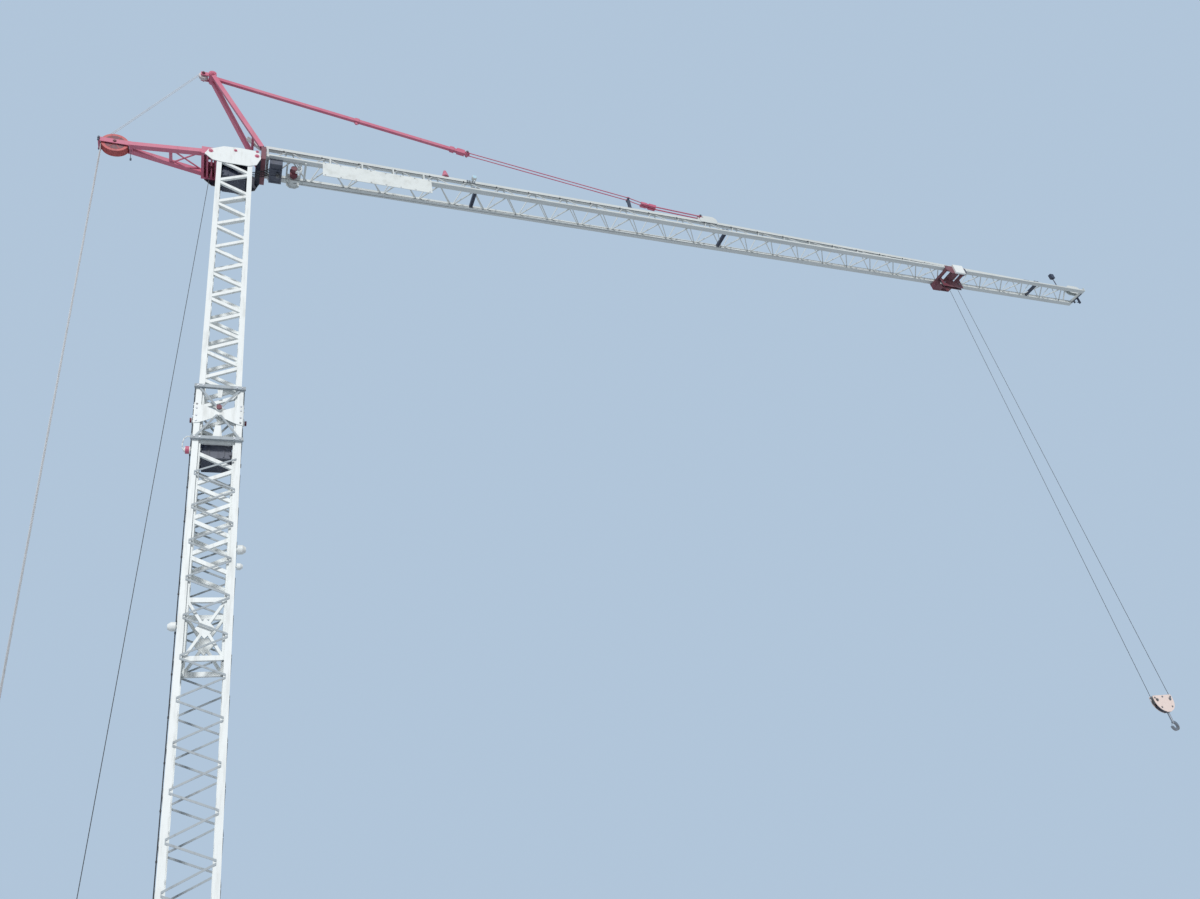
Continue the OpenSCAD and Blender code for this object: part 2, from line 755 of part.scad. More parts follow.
module apex_frame() {
    apex = [-apex_back, 0, apex_z];
    color(faded_red)
    difference() {
        union() {
            for (s = [-1, 1])
                square_bar([apex_foot_x, s * apex_foot_y, apex_foot_z], [apex[0], s * 78, apex[2]], apex_bar);
            translate([-apex_back, 125, apex_z]) rotate([90, 0, 0]) cylinder(h = 250, d = apex_boss_d, $fn = 32);
            for (s = [-1, 1])
                beam(-apex_back - apex_sheave_x - 50, -apex_back, s * 70, 20, apex_z - 50, apex_z + 50);
            bar([tube_at[0], -tube_at[1], tube_at[2]], tube_at, 50, 24);
        }
        translate([-apex_back - apex_sheave_x, 0, apex_z]) rotate([90, 0, 0])
            cylinder(h = 200, d = 40 + 2 * jack_clear, center = true, $fn = 32);
        translate([0, -upper_w, apex_foot_z - 200]) cube([2 * apex_foot_x, 2 * upper_w, 200]);
    }
}

module apex_ropes() {
    nest = [-strut_reach, strut_z];
    high = [-apex_back - apex_sheave_x, apex_z];
    r_nest = groove_r(nest_d, nest_w) + rope_off;
    r_high = groove_r(apex_sheave_d, nest_w) + rope_off;
    side = touch(nest, r_nest, high, r_high);
    a = nest + r_nest * side;
    b = high + r_high * side;
    color(rope_grey)
    for (y = [-18, 18])
        bar([a[0], y, a[1]], [b[0], y, b[1]], rope_d);
}

// Jib

module jib_portal() {
    x0 = head_front;
    x1 = jib_root;
    color(dark_red) {
        for (s = [-1, 1])
            beam(x0, x1, s * apex_foot_y, 84, upper_top_z + 60, apex_foot_z);
        beam(x0, x1, 0, 2 * apex_foot_y, upper_top_z + 60, upper_top_z + 150);
        beam(x0, x1, 0, 2 * apex_foot_y, jib_z - 45, jib_z + 45);
    }
}

tie_mid_z = jib_top_z + tie_rise;
tie_prop = tie_mid + prop_after;
tie_prop_z = jib_top_z + prop_rise;
tie_joint = tie_prop + coupling_after;
tie_joint_z = jib_top_z + 245;
tie_end_z = jib_top_z + chord_half + 120;
lump_w = 90;
tongue_w = 40;
tie_thick = 34;
tie_thin = 22;
rod_y = tongue_w / 2 + tie_thick / 2 + seat;
tie_pin_d = 36;

// Bar from the apex, with a clamp on its way and two forged lumps at its end
module jib_tie_bar() {
    apex = [-apex_back, 0, apex_z];
    mid = [tie_mid, 0, tie_mid_z];
    v = mid - apex;
    color(faded_red)
    difference() {
        along(apex, mid) {
            translate([-40, -30, 0]) cube([80, 60, norm(v) - 160]);
            translate([-52, -42, norm(v) * 0.535]) cube([104, 84, 90]);
            translate([50, -12, norm(v) * 0.535 + 20]) cube([70, 24, 50]);
            translate([-55, -lump_w / 2, norm(v) - 460]) cube([110, lump_w, 100]);
            translate([-62, -lump_w / 2, norm(v) - 300]) cube([124, lump_w, 180]);
            translate([-45, -tongue_w / 2, norm(v) - 130]) cube([90, tongue_w, 130]);
        }
        translate([-apex_back, 111, apex_z]) rotate([90, 0, 0]) cylinder(h = 222, d = apex_boss_d + 2 * seat, $fn = 32);
        translate([tie_pin[0], 100, tie_pin[1]]) rotate([90, 0, 0]) cylinder(h = 200, d = tie_pin_d + 2 * jack_clear, $fn = 32);
    }
}

tie_fall = (apex_z - tie_mid_z) / (tie_mid + apex_back);
tie_pin = [tie_mid - 60, tie_mid_z + 60 * tie_fall];

// Round eye of a tie rod, with its hole along Y
module tie_eye(x, y, z, d) {
    translate([x, y + tie_thick / 2, z]) rotate([90, 0, 0]) difference() {
        cylinder(h = tie_thick, d = d, $fn = 32);
        translate([0, 0, -1]) cylinder(h = tie_thick + 2, d = tie_pin_d + 2 * jack_clear, $fn = 32);
    }
}

module jib_tie_rods() {
    color(faded_red) {
        for (s = [-1, 1]) {
            y = s * rod_y;
            difference() {
                union() {
                    bar([tie_pin[0] + 20, y, tie_pin[1] - 3], [tie_prop - 10, y, tie_prop_z + 1], tie_thin);
                    beam(tie_prop - 30, tie_prop + 30, y, 34, tie_prop_z - 16, tie_prop_z + 16);
                    bar([tie_prop + 10, y, tie_prop_z - 3], [tie_joint - 110, y, tie_joint_z + 26], tie_thin);
                    along([tie_joint - 190, y, tie_joint_z + 30], [tie_joint + 190, y, tie_joint_z - 26]) {
                        translate([-32, -22, 0]) cube([64, 44, 150]);
                        translate([-20, -16, 140]) cube([40, 32, 70]);
                        translate([-38, -26, 200]) cube([76, 52, 180]);
                    }
                    bar([tie_joint + 110, y, tie_joint_z - 16], [tie_end - 20, y, tie_end_z], tie_thick - 4);
                }
                translate([tie_pin[0], y + 50, tie_pin[1]]) rotate([90, 0, 0]) cylinder(h = 100, d = 66, $fn = 32);
                translate([tie_end, y + 50, tie_end_z]) rotate([90, 0, 0]) cylinder(h = 100, d = 66, $fn = 32);
            }
            tie_eye(tie_pin[0], y, tie_pin[1], 84);
            tie_eye(tie_end, y, tie_end_z, 84);
        }
        beam(tie_joint - 26, tie_joint - 4, 0, 2 * rod_y - 16, tie_joint_z - 9, tie_joint_z + 9);
        for (p = [tie_pin, [tie_end, tie_end_z]])
            translate([p[0], rod_y + tie_thick / 2 + 14, p[1]]) rotate([90, 0, 0])
                cylinder(h = 2 * rod_y + tie_thick + 28, d = tie_pin_d, $fn = 32);
    }
}

// Rounded bracket astride the upper chord that holds the ends of the tie rods on a tongue
module tie_bracket() {
    base = jib_top_z + chord_half;
    side = chord_half + seat;
    color(steel_white)
    difference() {
        union() {
            for (y = [-side - 12, side])
                plate_xz([
                    [tie_end + 60, base + 150], [tie_end - 10, base + 100], [tie_end - 40, base + 10],
                    [tie_end - 20, base - 70], [tie_end + 420, base - 70], [tie_end + 450, base],
                    [tie_end + 430, base + 90], [tie_end + 350, base + 150]
                ], y, 12);
            beam(tie_end + 90, tie_end + 430, 0, 2 * side + 2, base + seat, base + 120);
            beam(tie_end - 60, tie_end + 95, 0, tongue_w, base + seat, base + 165);
        }
        translate([tie_end, 100, tie_end_z]) rotate([90, 0, 0]) cylinder(h = 200, d = tie_pin_d + 2 * jack_clear, $fn = 32);
        for (s = [-1, 1])
            beam(tie_end - 200, tie_end + 70, s * (tongue_w / 2 + 40), 80, tie_end_z - 50, tie_end_z + 50);
    }
}

// Bar of the width w that follows the upper chord, mitred where the jib begins to taper
module top_bar(x0, x1, w) {
    h = w / 2;
    mitre = h * tan(jib_slope / 2);
    end = h / cos(jib_slope);
    plate_xz([
        [x0, jib_top_z - h], [joint_b - mitre, jib_top_z - h], [x1, top_z_at(x1) - end],
        [x1, top_z_at(x1) + end], [joint_b + mitre, jib_top_z + h], [x0, jib_top_z + h]
    ], -h, w);
}

module jib_top_chord() {
    color(steel_white)
    difference() {
        top_bar(jib_root, jib_tip, chord_w);
        top_bar(jib_root - 1, jib_tip + 1, chord_w - 2 * chord_wall);
    }
}

module jib_lower_chords() {
    in = chord_w - 2 * chord_wall;
    color(steel_white)
    for (s = [-1, 1]) difference() {
        union() {
            beam(jib_root, jib_tip, s * gauge_half, chord_w, jib_z - chord_half, jib_z + chord_half);
            beam(jib_root + 60, jib_tip, s * (gauge_half + chord_half + ledge_w / 2 - 1), ledge_w + 2, jib_z - chord_half, jib_z - chord_half + 6);
        }
        beam(jib_root - 1, jib_tip + 1, s * gauge_half, in, jib_z - in / 2, jib_z + in / 2);
    }
}

frame_places = [joint_a, joint_b - 60, joint_c];

function top_z_at(x) = x < joint_b ? jib_top_z : jib_top_z - (x - joint_b) * tan(jib_slope);

lace_start = jib_root + 90;
lace_turns = floor((jib_tip - 90 - lace_start) / jib_pitch);

module lace_turn(s, k, ecc) {
    a = lace_start + k * jib_pitch;
    b = a + jib_pitch / 2;
    c = a + jib_pitch;
    bar([a + ecc, s * gauge_half, jib_z], [b - ecc, 0, top_z_at(b)], lace_d);
    bar([b + ecc, 0, top_z_at(b)], [c - ecc, s * gauge_half, jib_z], lace_d);
}

// One inclined side of the jib's lacing, cut to meet the chords' faces
module side_lacing(s) {
    ecc = 30;
    color(steel_white)
    difference() {
        union() {
            bar([jib_root + 40, s * gauge_half, jib_z], [jib_root + 40, 0, jib_top_z], 44);
            bar([jib_tip - 290, s * gauge_half, jib_z], [jib_tip - 290, 0, top_z_at(jib_tip - 290)], 36);
            for (k = [0 : lace_turns - 1]) lace_turn(s, k, ecc);
        }
        beam(jib_root, jib_tip, s * gauge_half, chord_w, jib_z - chord_half, jib_z + chord_half);
        top_bar(jib_root - 1, jib_tip + 1, chord_w + 2 * seat);
        translate([jib_root, s > 0 ? -chord_w : 0, jib_z]) cube([jib_tip, chord_w, 2 * jib_h]);
    }
}

module jib_near_lacing() side_lacing(-1);
module jib_far_lacing() side_lacing(1);

module jib_floor_lacing() {
    in = gauge_half - chord_half;
    w = 24;
    color(steel_white) {
        difference() {
            for (k = [0 : lace_turns - 1]) {
                a = lace_start + k * jib_pitch + 40;
                b = a + jib_pitch / 2;
                c = a + jib_pitch - 80;
                translate([0, 0, jib_z - 12]) linear_extrude(w) {
                    polygon([[a, in], [a + w, in], [b - 40 + w, -in], [b - 40, -in]]);
                    polygon([[b, -in], [b + w, -in], [c + w, in], [c, in]]);
                }
            }
            for (x = frame_places)
                beam(x - 36 - seat, x + 36 + seat, 0, 2 * in + 2, jib_z - 40, jib_z + 40);
        }
        for (x = [jib_root + 10, jib_tip - 60])
            beam(x, x + 50, 0, 2 * in, jib_z - 25, jib_z + 25);
    }
}

module jib_cross_frames() {
    in = gauge_half - chord_half;
    base = jib_top_z + chord_half;
    color(dark_navy) {
        for (x = frame_places) {
            for (d = [-36, 4])
                beam(x + d, x + d + 32, 0, 2 * in, jib_z - 32, jib_z + 32);
            for (s = [-1, 1], d = [-80, 20])
                beam(x + d, x + d + 60, s * (gauge_half + 24), 12, jib_z + chord_half, jib_z + chord_half + 45);
        }
        beam(tie_prop - 80, tie_prop + 80, 0, 70, base, base + 12);
        beam(tie_prop - 30, tie_prop + 30, 0, 60, base + 12, tie_prop_z - 46);
        beam(tie_prop - 26, tie_prop + 10, 0, 2 * rod_y + 60, tie_prop_z - 46, tie_prop_z - 16 - seat);
        translate([jib_tip - 560, 0, top_z_at(jib_tip - 560) + chord_half + 2 * seat]) {
            cylinder(h = 320, d = 24, $fn = 16);
            beam(-60, 60, 0, 90, 320, 470);
        }
    }
}

under = jib_z - chord_half;

module jib_machinery() {
    color(dark_navy)
    difference() {
        beam(jib_root + 80, jib_root + 320, 0, 2 * gauge_half, under - 150, under);
        for (y = [-160, 0, 160])
            beam(jib_root + 110, jib_root + 290, y, 110, under - 151, under - 138);
    }
}

// Winch that pulls the trolley, in a frame under the lower chords
module trolley_winch() {
    x0 = jib_root + winch_after;
    x1 = x0 + 260;
    post = x1 + 80;
    winch_mid = (x0 + x1) / 2 + 12;
    color(steel_grey) {
        for (x = [x0, x1])
            beam(x, x + 30, 0, 2 * gauge_half, under - 30, under);
        for (y = [46, gauge_half - 6])
            plate_xz([[x0 + 20, under - 30], [x0 + 20, under - 150], [winch_mid - 50, under - 220],
                [winch_mid + 50, under - 220], [x1 + 10, under - 150], [x1 + 10, under - 30]], y - 6, 12);
        translate([winch_mid, gauge_half - 12, under - 112]) rotate([90, 0, 0]) cylinder(h = gauge_half - 64, d = 170, $fn = 48);
        for (y = [66, gauge_half - 12])
            translate([winch_mid, y, under - 112]) rotate([90, 0, 0]) cylinder(h = 14, d = 196, $fn = 48);
        beam(post, post + 40, 0, 2 * gauge_half + chord_w, under - 40, under);
    }
}

trolley_motor_x = jib_root + winch_after + 140;

// Gear motor of the trolley's winch
module trolley_motor() {
    color(dark_red) {
        translate([trolley_motor_x + 2, 40, under - 112]) rotate([90, 0, 0]) cylinder(h = 230, d = 120, $fn = 32);
        beam(trolley_motor_x - 70, trolley_motor_x + 74, -60, 60, under - 190, under - 30);
    }
}

lamp_x = joint_a + 100;

// Working lamp on a post over the first section joint
module jib_lamp() {
    base = jib_top_z + chord_half;
    color(steel_white) {
        beam(lamp_x - 40, lamp_x + 40, 0, 60, base, base + 8);
        translate([lamp_x, 0, base + 8]) cylinder(h = 92, d = 26, $fn = 16);
        translate([lamp_x, 40, base + 148]) rotate([90, 0, 0]) cylinder(h = 80, d = 110, $fn = 24);
    }
}

cone_x = joint_a - 560;

// Small cone on the upper chord
module jib_cone() {
    base = jib_top_z + chord_half;
    color(faded_red)
    translate([cone_x, 0, base]) {
        beam(-80, 80, 0, 76, 0, 8);
        translate([0, 0, 8]) cylinder(h = 200, d1 = 170, d2 = 60, $fn = 32);
    }
}

nose_z = jib_z + jib_tip_h;

// Rounded head beyond the tip, with the sheave that turns the ropes back
module jib_nose() {
    reach = 280;
    color(steel_white) {
        for (y = [-chord_half - seat - 12, chord_half + seat])
            translate([0, y + 12, 0]) rotate([90, 0, 0]) linear_extrude(12)
                translate([jib_tip + (reach - 260) / 2, nose_z - 20]) round_rect(reach + 260, 290, 140);
        translate([jib_tip + 160, chord_half + seat + 12, nose_z + 8]) rotate([90, 0, 0])
            cylinder(h = chord_w + 2 * seat + 24, d = 40, $fn = 32);
        translate([jib_tip + 160, 0, nose_z + 8]) sheave(170, 46, 30);
        beam(jib_tip + 14, jib_tip + 44, 0, chord_w + 2 * seat + 4, nose_z - 60, nose_z + 76);
    }
    color(dark_navy)
        for (s = [-1, 1])
            beam(jib_tip, jib_tip + 12, s * gauge_half, chord_w + 2 * ledge_w, jib_z - chord_half, jib_z + chord_half + 30);
}

banner_x = 1630;
banner_y = 395;
banner_top = jib_z + 60;

module jib_banner() {
    rest = jib_z + chord_half;
    color(steel_white) {
        beam(banner_x, banner_x + banner_l, -banner_y, 6, banner_top - banner_h, banner_top);
        for (x = [banner_x + 150 : (banner_l - 300) / 3 : banner_x + banner_l - 150]) {
            beam(x - 15, x + 15, -gauge_half - 12, 12, rest, rest + 56);
            translate([x - 15, -banner_y - 3, rest + 44]) cube([30, banner_y - gauge_half, 12]);
            beam(x - 15, x + 15, -banner_y, 6, banner_top - 1, rest + 50);
        }
    }
}

// Trolley

wheel_z = jib_z - chord_half + 6 + wheel_d / 2 + seat;
wheel_y = gauge_half + chord_half + ledge_w / 2 + 1;
cheek_y = gauge_half + chord_half + ledge_w + 8;
cheek_t = 10;
trolley_top = jib_z - chord_half - 15;
trolley_low = jib_z - 420;
axle_x = trolley_l / 2 - 70;
sheave_w = 50;
sheave_x = falls_top / 2 + groove_r(sheave_d, sheave_w) + rope_d / 2 + seat;
sheave_z = trolley_low + 130;

module trolley_frame() {
    color(dark_red)
    translate([trolley_x, 0, 0]) difference() {
        union() {
            for (s = [-1, 1]) {
                beam(-trolley_l / 2, trolley_l / 2, s * (cheek_y + cheek_t / 2), cheek_t, trolley_top - 70, wheel_z + 22);
                beam(-trolley_l / 2, trolley_l / 2, s * 36, 12, trolley_low, trolley_low + 220);
            }
            for (x = [-1, 1])
                beam(x * (trolley_l / 2 - 30) - 30, x * (trolley_l / 2 - 30) + 30, 0, 2 * cheek_y + 2 * cheek_t, trolley_top - 70, trolley_top);
            for (x = [-1, 1], s = [-1, 1])
                beam(x * (trolley_l / 2 - 30) - 30, x * (trolley_l / 2 - 30) + 30, s * 36, 12, trolley_low, trolley_top - 60);
            for (s = [-1, 1])
                plate_xz([[-trolley_l / 2, trolley_top - 60], [trolley_l / 2, trolley_top - 60],
                    [trolley_l / 2 - 130, trolley_top - 170], [-trolley_l / 2 + 130, trolley_top - 170]],
                    s * (cheek_y + cheek_t / 2) - cheek_t / 2, cheek_t);
            beam(-trolley_l / 2, -trolley_l / 2 + 240, (cheek_y + 60) / 2, cheek_y - 60, trolley_top - 190, trolley_top - 10);
            beam(-110, 110, 0, 2 * cheek_y + cheek_t, trolley_top - 110, trolley_top - 20);
            for (s = [-1, 1])
                beam(-60, 60, s * 36, 12, trolley_low + 200, trolley_top - 60);
        }
        for (x = [-sheave_x, sheave_x])
            translate([x, 100, sheave_z]) rotate([90, 0, 0]) cylinder(h = 200, d = 40 + 2 * jack_clear, $fn = 32);
        for (x = [-axle_x, axle_x])
            translate([x, 2 * cheek_y, wheel_z]) rotate([90, 0, 0]) cylinder(h = 4 * cheek_y, d = 20 + 2 * jack_clear, $fn = 32);
    }
}

// Switch box on the trolley's near side
module trolley_box() {
    out = -cheek_y - cheek_t;
    color(steel_white)
    translate([trolley_x, 0, 0]) {
        beam(-90, 240, out - 22, 44, jib_z - 230, jib_z + 60);
        beam(-75, 225, out - 46, 4, jib_z - 215, jib_z + 45);
    }
}

module trolley_wheels() {
    color(steel_grey)
    translate([trolley_x, 0, 0])
    for (x = [-axle_x, axle_x], s = [-1, 1]) {
        translate([x, s * wheel_y + 11, wheel_z]) rotate([90, 0, 0]) cylinder(h = 22, d = wheel_d, $fn = 48);
        translate([x, s > 0 ? cheek_y + cheek_t : -wheel_y, wheel_z]) rotate([90, 0, 0])
            cylinder(h = cheek_y + cheek_t - wheel_y, d = 20, $fn = 32);
    }
}

module trolley_sheaves() {
    color(steel_grey)
    translate([trolley_x, 0, sheave_z])
    for (x = [-sheave_x, sheave_x]) translate([x, 0, 0]) {
        sheave(sheave_d, sheave_w, 30);
        translate([0, 42, 0]) rotate([90, 0, 0]) cylinder(h = 84, d = 40, $fn = 32);
    }
}

block_w = falls_low - 10;
block_h = 345;
block_top = 90;
block_t = 10;
block_half = 36;
block_sheave_x = falls_low / 2 - groove_r(sheave_d, sheave_w) - rope_d / 2 - seat;

module hoist_falls() {
    color(rope_grey)
    for (s = [-1, 1])
        bar([trolley_x + s * falls_top / 2, 0, sheave_z], [trolley_x + s * falls_low / 2, 0, block_z], rope_d);
}

// Hook block

// Outline of the block's cheeks, shrunk by r: flat above, an elliptic arc below
function cheek_arc(r) = [
    for (t = [0 : 12 : 180]) [(block_w / 2 - r) * cos(t), -10 - (block_h - 100 - r) * sin(t)]
];

module hook_block() {
    color([0.86, 0.74, 0.70])
    translate([trolley_x, 0, block_z]) difference() {
        union() {
            for (s = [-1, 1])
                translate([0, s * (block_half + block_t / 2) + block_t / 2, 0]) rotate([90, 0, 0]) linear_extrude(block_t)
                    polygon(concat([[20 - block_w / 2, block_top], [block_w / 2 - 20, block_top], [block_w / 2, block_top - 30]],
                        cheek_arc(0), [[-block_w / 2, block_top - 30]]));
            translate([0, block_half + 1, 0]) rotate([90, 0, 0]) linear_extrude(2 * block_half + 2) difference() {
                polygon(cheek_arc(2));
                polygon(concat([[block_w / 2, 10]], cheek_arc(18), [[-block_w / 2, 10]]));
                translate([-block_w, -115]) square([2 * block_w, 200]);
            }
            beam(-60, 60, 0, 2 * block_half + 2 * block_t, -block_h + 90, -block_h + 150);
        }
        for (x = [-block_sheave_x, block_sheave_x])
            translate([x, 100, 0]) rotate([90, 0, 0]) cylinder(h = 200, d = 40 + 2 * jack_clear, $fn = 32);
        translate([0, 0, -block_h]) cylinder(h = 200, d = hook_t + 2 * jack_clear, $fn = 32);
    }
}

module block_sheaves() {
    color(steel_grey)
    translate([trolley_x, 0, block_z])
    for (x = [-block_sheave_x, block_sheave_x]) translate([x, 0, 0]) {
        sheave(sheave_d, sheave_w, 30);
        translate([0, block_half + block_t, 0]) rotate([90, 0, 0])
            cylinder(h = 2 * block_half + 2 * block_t, d = 40, $fn = 32);
    }
}

hook_r = 75;
hook_z = block_z - block_h - 185;
nut_h = 36;
shank_top = block_z - block_h + 150 + seat + nut_h;

module hook() {
    color(dark_navy)
    translate([trolley_x, 0, hook_z]) {
        rotate([90, 0, 0]) translate([0, 0, -hook_t / 2]) linear_extrude(hook_t) difference() {
            circle(hook_r + 22, $fn = 48);
            circle(hook_r - 22, $fn = 48);
            translate([-200, 0]) square([200, 200]);
        }
        translate([0, 0, hook_r - 22]) cylinder(h = shank_top - hook_z - hook_r + 22, d = hook_t, $fn = 32);
        translate([0, 0, shank_top - hook_z - nut_h]) cylinder(h = nut_h, d = 60, $fn = 6);
    }
}

foot_plates();
jack_screws();
chassis_frame();
slewing_ring();
turntable();
platform_frame();
ballast_slabs();
hoist_winch();
control_cabinet();
lower_mast_foot();
lower_mast_legs();
lower_mast_near_lacing();
lower_mast_far_lacing();
lower_mast_rear_lacing();
lower_mast_front_lacing();
mast_collars();
collar_plates();
collar_braces();
collar_pins();
guide_pads();
mast_lamps();
guy_ropes();
hoist_rope();
upper_mast_tubes();
upper_mast_near_lacing();
upper_mast_far_lacing();
upper_mast_rear_lacing();
upper_mast_front_lacing();
upper_mast_foot();
mast_head();
rear_strut();
guy_sheaves();
apex_frame();
apex_ropes();
jib_portal();
jib_tie_bar();
jib_tie_rods();
tie_bracket();
jib_top_chord();
jib_lower_chords();
jib_near_lacing();
jib_far_lacing();
jib_floor_lacing();
jib_cross_frames();
jib_machinery();
trolley_winch();
trolley_motor();
jib_banner();
jib_lamp();
jib_cone();
jib_nose();
trolley_frame();
trolley_box();
trolley_wheels();
trolley_sheaves();
hoist_falls();
hook_block();
block_sheaves();
hook();
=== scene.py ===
# %% [markdown]
# A tower crane that puts itself up
# The crane stands on four plates, turns on a ring, and its lattice mast slides out of a wider one. This
# lesson loads the finished steelwork as a fixed frame and then gives it its looks: the camera and light,
# the paints, and the ropes, bolts and fittings that are too fine for the frame. The steelwork could be made
# here too, but then two models would have to agree. Reading one frame keeps every size the same.

# %% Frame and libraries
import json
from math import cos, pi, radians, sin, sqrt

import bmesh
import bpy
from mathutils import Matrix, Vector


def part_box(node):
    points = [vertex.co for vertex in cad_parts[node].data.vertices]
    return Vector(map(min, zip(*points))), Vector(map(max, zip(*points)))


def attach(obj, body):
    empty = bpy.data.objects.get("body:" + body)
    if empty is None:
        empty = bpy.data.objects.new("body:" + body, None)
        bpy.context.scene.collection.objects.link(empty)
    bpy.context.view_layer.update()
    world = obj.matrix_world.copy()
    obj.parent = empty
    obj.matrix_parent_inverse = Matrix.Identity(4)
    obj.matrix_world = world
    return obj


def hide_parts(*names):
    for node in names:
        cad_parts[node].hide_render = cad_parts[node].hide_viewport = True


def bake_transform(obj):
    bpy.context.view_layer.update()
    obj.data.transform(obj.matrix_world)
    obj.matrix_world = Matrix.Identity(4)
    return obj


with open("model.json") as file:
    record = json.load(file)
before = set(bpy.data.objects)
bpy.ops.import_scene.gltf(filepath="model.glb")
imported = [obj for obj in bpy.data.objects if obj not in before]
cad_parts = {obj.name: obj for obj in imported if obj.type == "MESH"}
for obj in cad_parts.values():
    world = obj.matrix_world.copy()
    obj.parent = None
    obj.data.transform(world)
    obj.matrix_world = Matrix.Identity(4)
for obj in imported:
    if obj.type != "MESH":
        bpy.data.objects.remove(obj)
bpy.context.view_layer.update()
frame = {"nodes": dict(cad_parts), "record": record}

# %% [markdown]
# The camera stands near the mast and looks steeply up along the jib, and it leans to one side. A constraint
# could aim it, but the lean would need a second one. The matrix is built from three directions instead,
# which says more plainly than angles where the camera looks. A wide lens gives the strong lines of a
# picture taken from close by.

# %% Camera
EYE = Vector((0.08, -13.15, 0.8))
PITCH = radians(32.3)
LEAN = radians(11.5)
HEADING = Vector((0.4472, 0.8945, 0.0))
FOCAL_PIXELS = 924.0
IMAGE_WIDTH = 1200
SENSOR = 36.0
FARTHEST = 400.0

look = (HEADING * cos(PITCH) + Vector((0, 0, sin(PITCH)))).normalized()
level = Vector((HEADING.y, -HEADING.x, 0)).normalized()
above = level.cross(look)
right = level * cos(LEAN) - above * sin(LEAN)
up = level * sin(LEAN) + above * cos(LEAN)

camera_data = bpy.data.cameras.new("camera")
camera_data.sensor_width = SENSOR
camera_data.lens = SENSOR * FOCAL_PIXELS / IMAGE_WIDTH
camera_data.clip_end = FARTHEST
camera = bpy.data.objects.new("camera", camera_data)
bpy.context.scene.collection.objects.link(camera)
camera.matrix_world = Matrix((
    (right.x, up.x, -look.x, EYE.x),
    (right.y, up.y, -look.y, EYE.y),
    (right.z, up.z, -look.z, EYE.z),
    (0, 0, 0, 1),
))
bpy.context.scene.camera = camera
bpy.context.scene.view_settings.view_transform = "Standard"
print("Lens", round(camera_data.lens, 2), "mm")

# %% [markdown]
# Shader maths reads better as Python expressions. Math nodes could be made and linked one by one, which takes
# three lines for each sign. Here Wire wraps one output of a node, and an operator on it adds the Math node,
# so a mask can be written the way it is thought.

# %% Wire, one output of a node
class Wire:
    def __init__(self, finish, socket):
        self.finish = finish
        self.socket = socket

    def maths(self, operation, *values):
        return self.finish.node("ShaderNodeMath", {"operation": operation}, dict(enumerate(values)))

    def __add__(self, other):
        return self.maths("ADD", self, other)

    def __radd__(self, other):
        return self.maths("ADD", other, self)

    def __sub__(self, other):
        return self.maths("SUBTRACT", self, other)

    def __rsub__(self, other):
        return self.maths("SUBTRACT", other, self)

    def __mul__(self, other):
        return self.maths("MULTIPLY", self, other)

    def __rmul__(self, other):
        return self.maths("MULTIPLY", other, self)

    def step(self, low, high):
        """0 below low, 1 above high, and smooth between them."""
        inputs = {"Value": self, "From Min": low, "From Max": high}
        return self.finish.node("ShaderNodeMapRange", {"interpolation_type": "SMOOTHSTEP"}, inputs)


# %% [markdown]
# A Finish is one material with its own nodes. Its node method makes any other node: first its settings, then
# the values or wires of its inputs. Patterns read Object coordinates, so they keep their size in metres on a
# long mast and on a small box alike, which a pattern fitted to each piece would not.

# %% Finish, one material
class Finish:
    def __init__(self, name):
        self.material = bpy.data.materials.new(name)
        self.material.use_nodes = True
        self.tree = self.material.node_tree
        self.shader = self.tree.nodes["Principled BSDF"]

    def node(self, kind, settings, inputs, output=0):
        made = self.tree.nodes.new(kind)
        for key, value in settings.items():
            setattr(made, key, value)
        for key, value in inputs.items():
            self.feed(made.inputs[key], value)
        return Wire(self, made.outputs[output])

    def feed(self, socket, value):
        if isinstance(value, Wire):
            self.tree.links.new(value.socket, socket)
        else:
            socket.default_value = value

    def set(self, **values):
        for key, value in values.items():
            self.feed(self.shader.inputs[key.replace("_", " ")], value)

    def place(self, scale=(1, 1, 1), turn=(0, 0, 0)):
        where = self.node("ShaderNodeTexCoord", {}, {}, "Object")
        return self.node("ShaderNodeMapping", {}, {"Vector": where, "Scale": scale, "Rotation": turn})

    def noise(self, where, size, detail=3.0, rough=0.55):
        inputs = {"Vector": where, "Scale": size, "Detail": detail, "Roughness": rough}
        return self.node("ShaderNodeTexNoise", {}, inputs, "Fac")

    def blend(self, factor, first, second):
        made = self.tree.nodes.new("ShaderNodeMix")
        made.data_type = "RGBA"
        self.feed(made.inputs["Factor"], factor)
        self.feed(made.inputs[6], first)
        self.feed(made.inputs[7], second)
        return Wire(self, made.outputs[2])

    def bump(self, height, strength, distance):
        inputs = {"Strength": strength, "Distance": distance, "Height": height}
        return self.node("ShaderNodeBump", {}, inputs, "Normal")


def rgb(red, green, blue):
    return (red, green, blue, 1.0)


# %% [markdown]
# The background is one plain pale blue-grey, so that white steel still stands out against it. One world
# colour could do both jobs, but a background this bright would flood the steel with light. So the world
# shows that colour to the camera, in gloss and through glass, and a weaker neutral one lights the crane.

# %% World
PALE = rgb(0.44, 0.56, 0.70)
FILL = 0.42
FILL_BLUE = 1.04

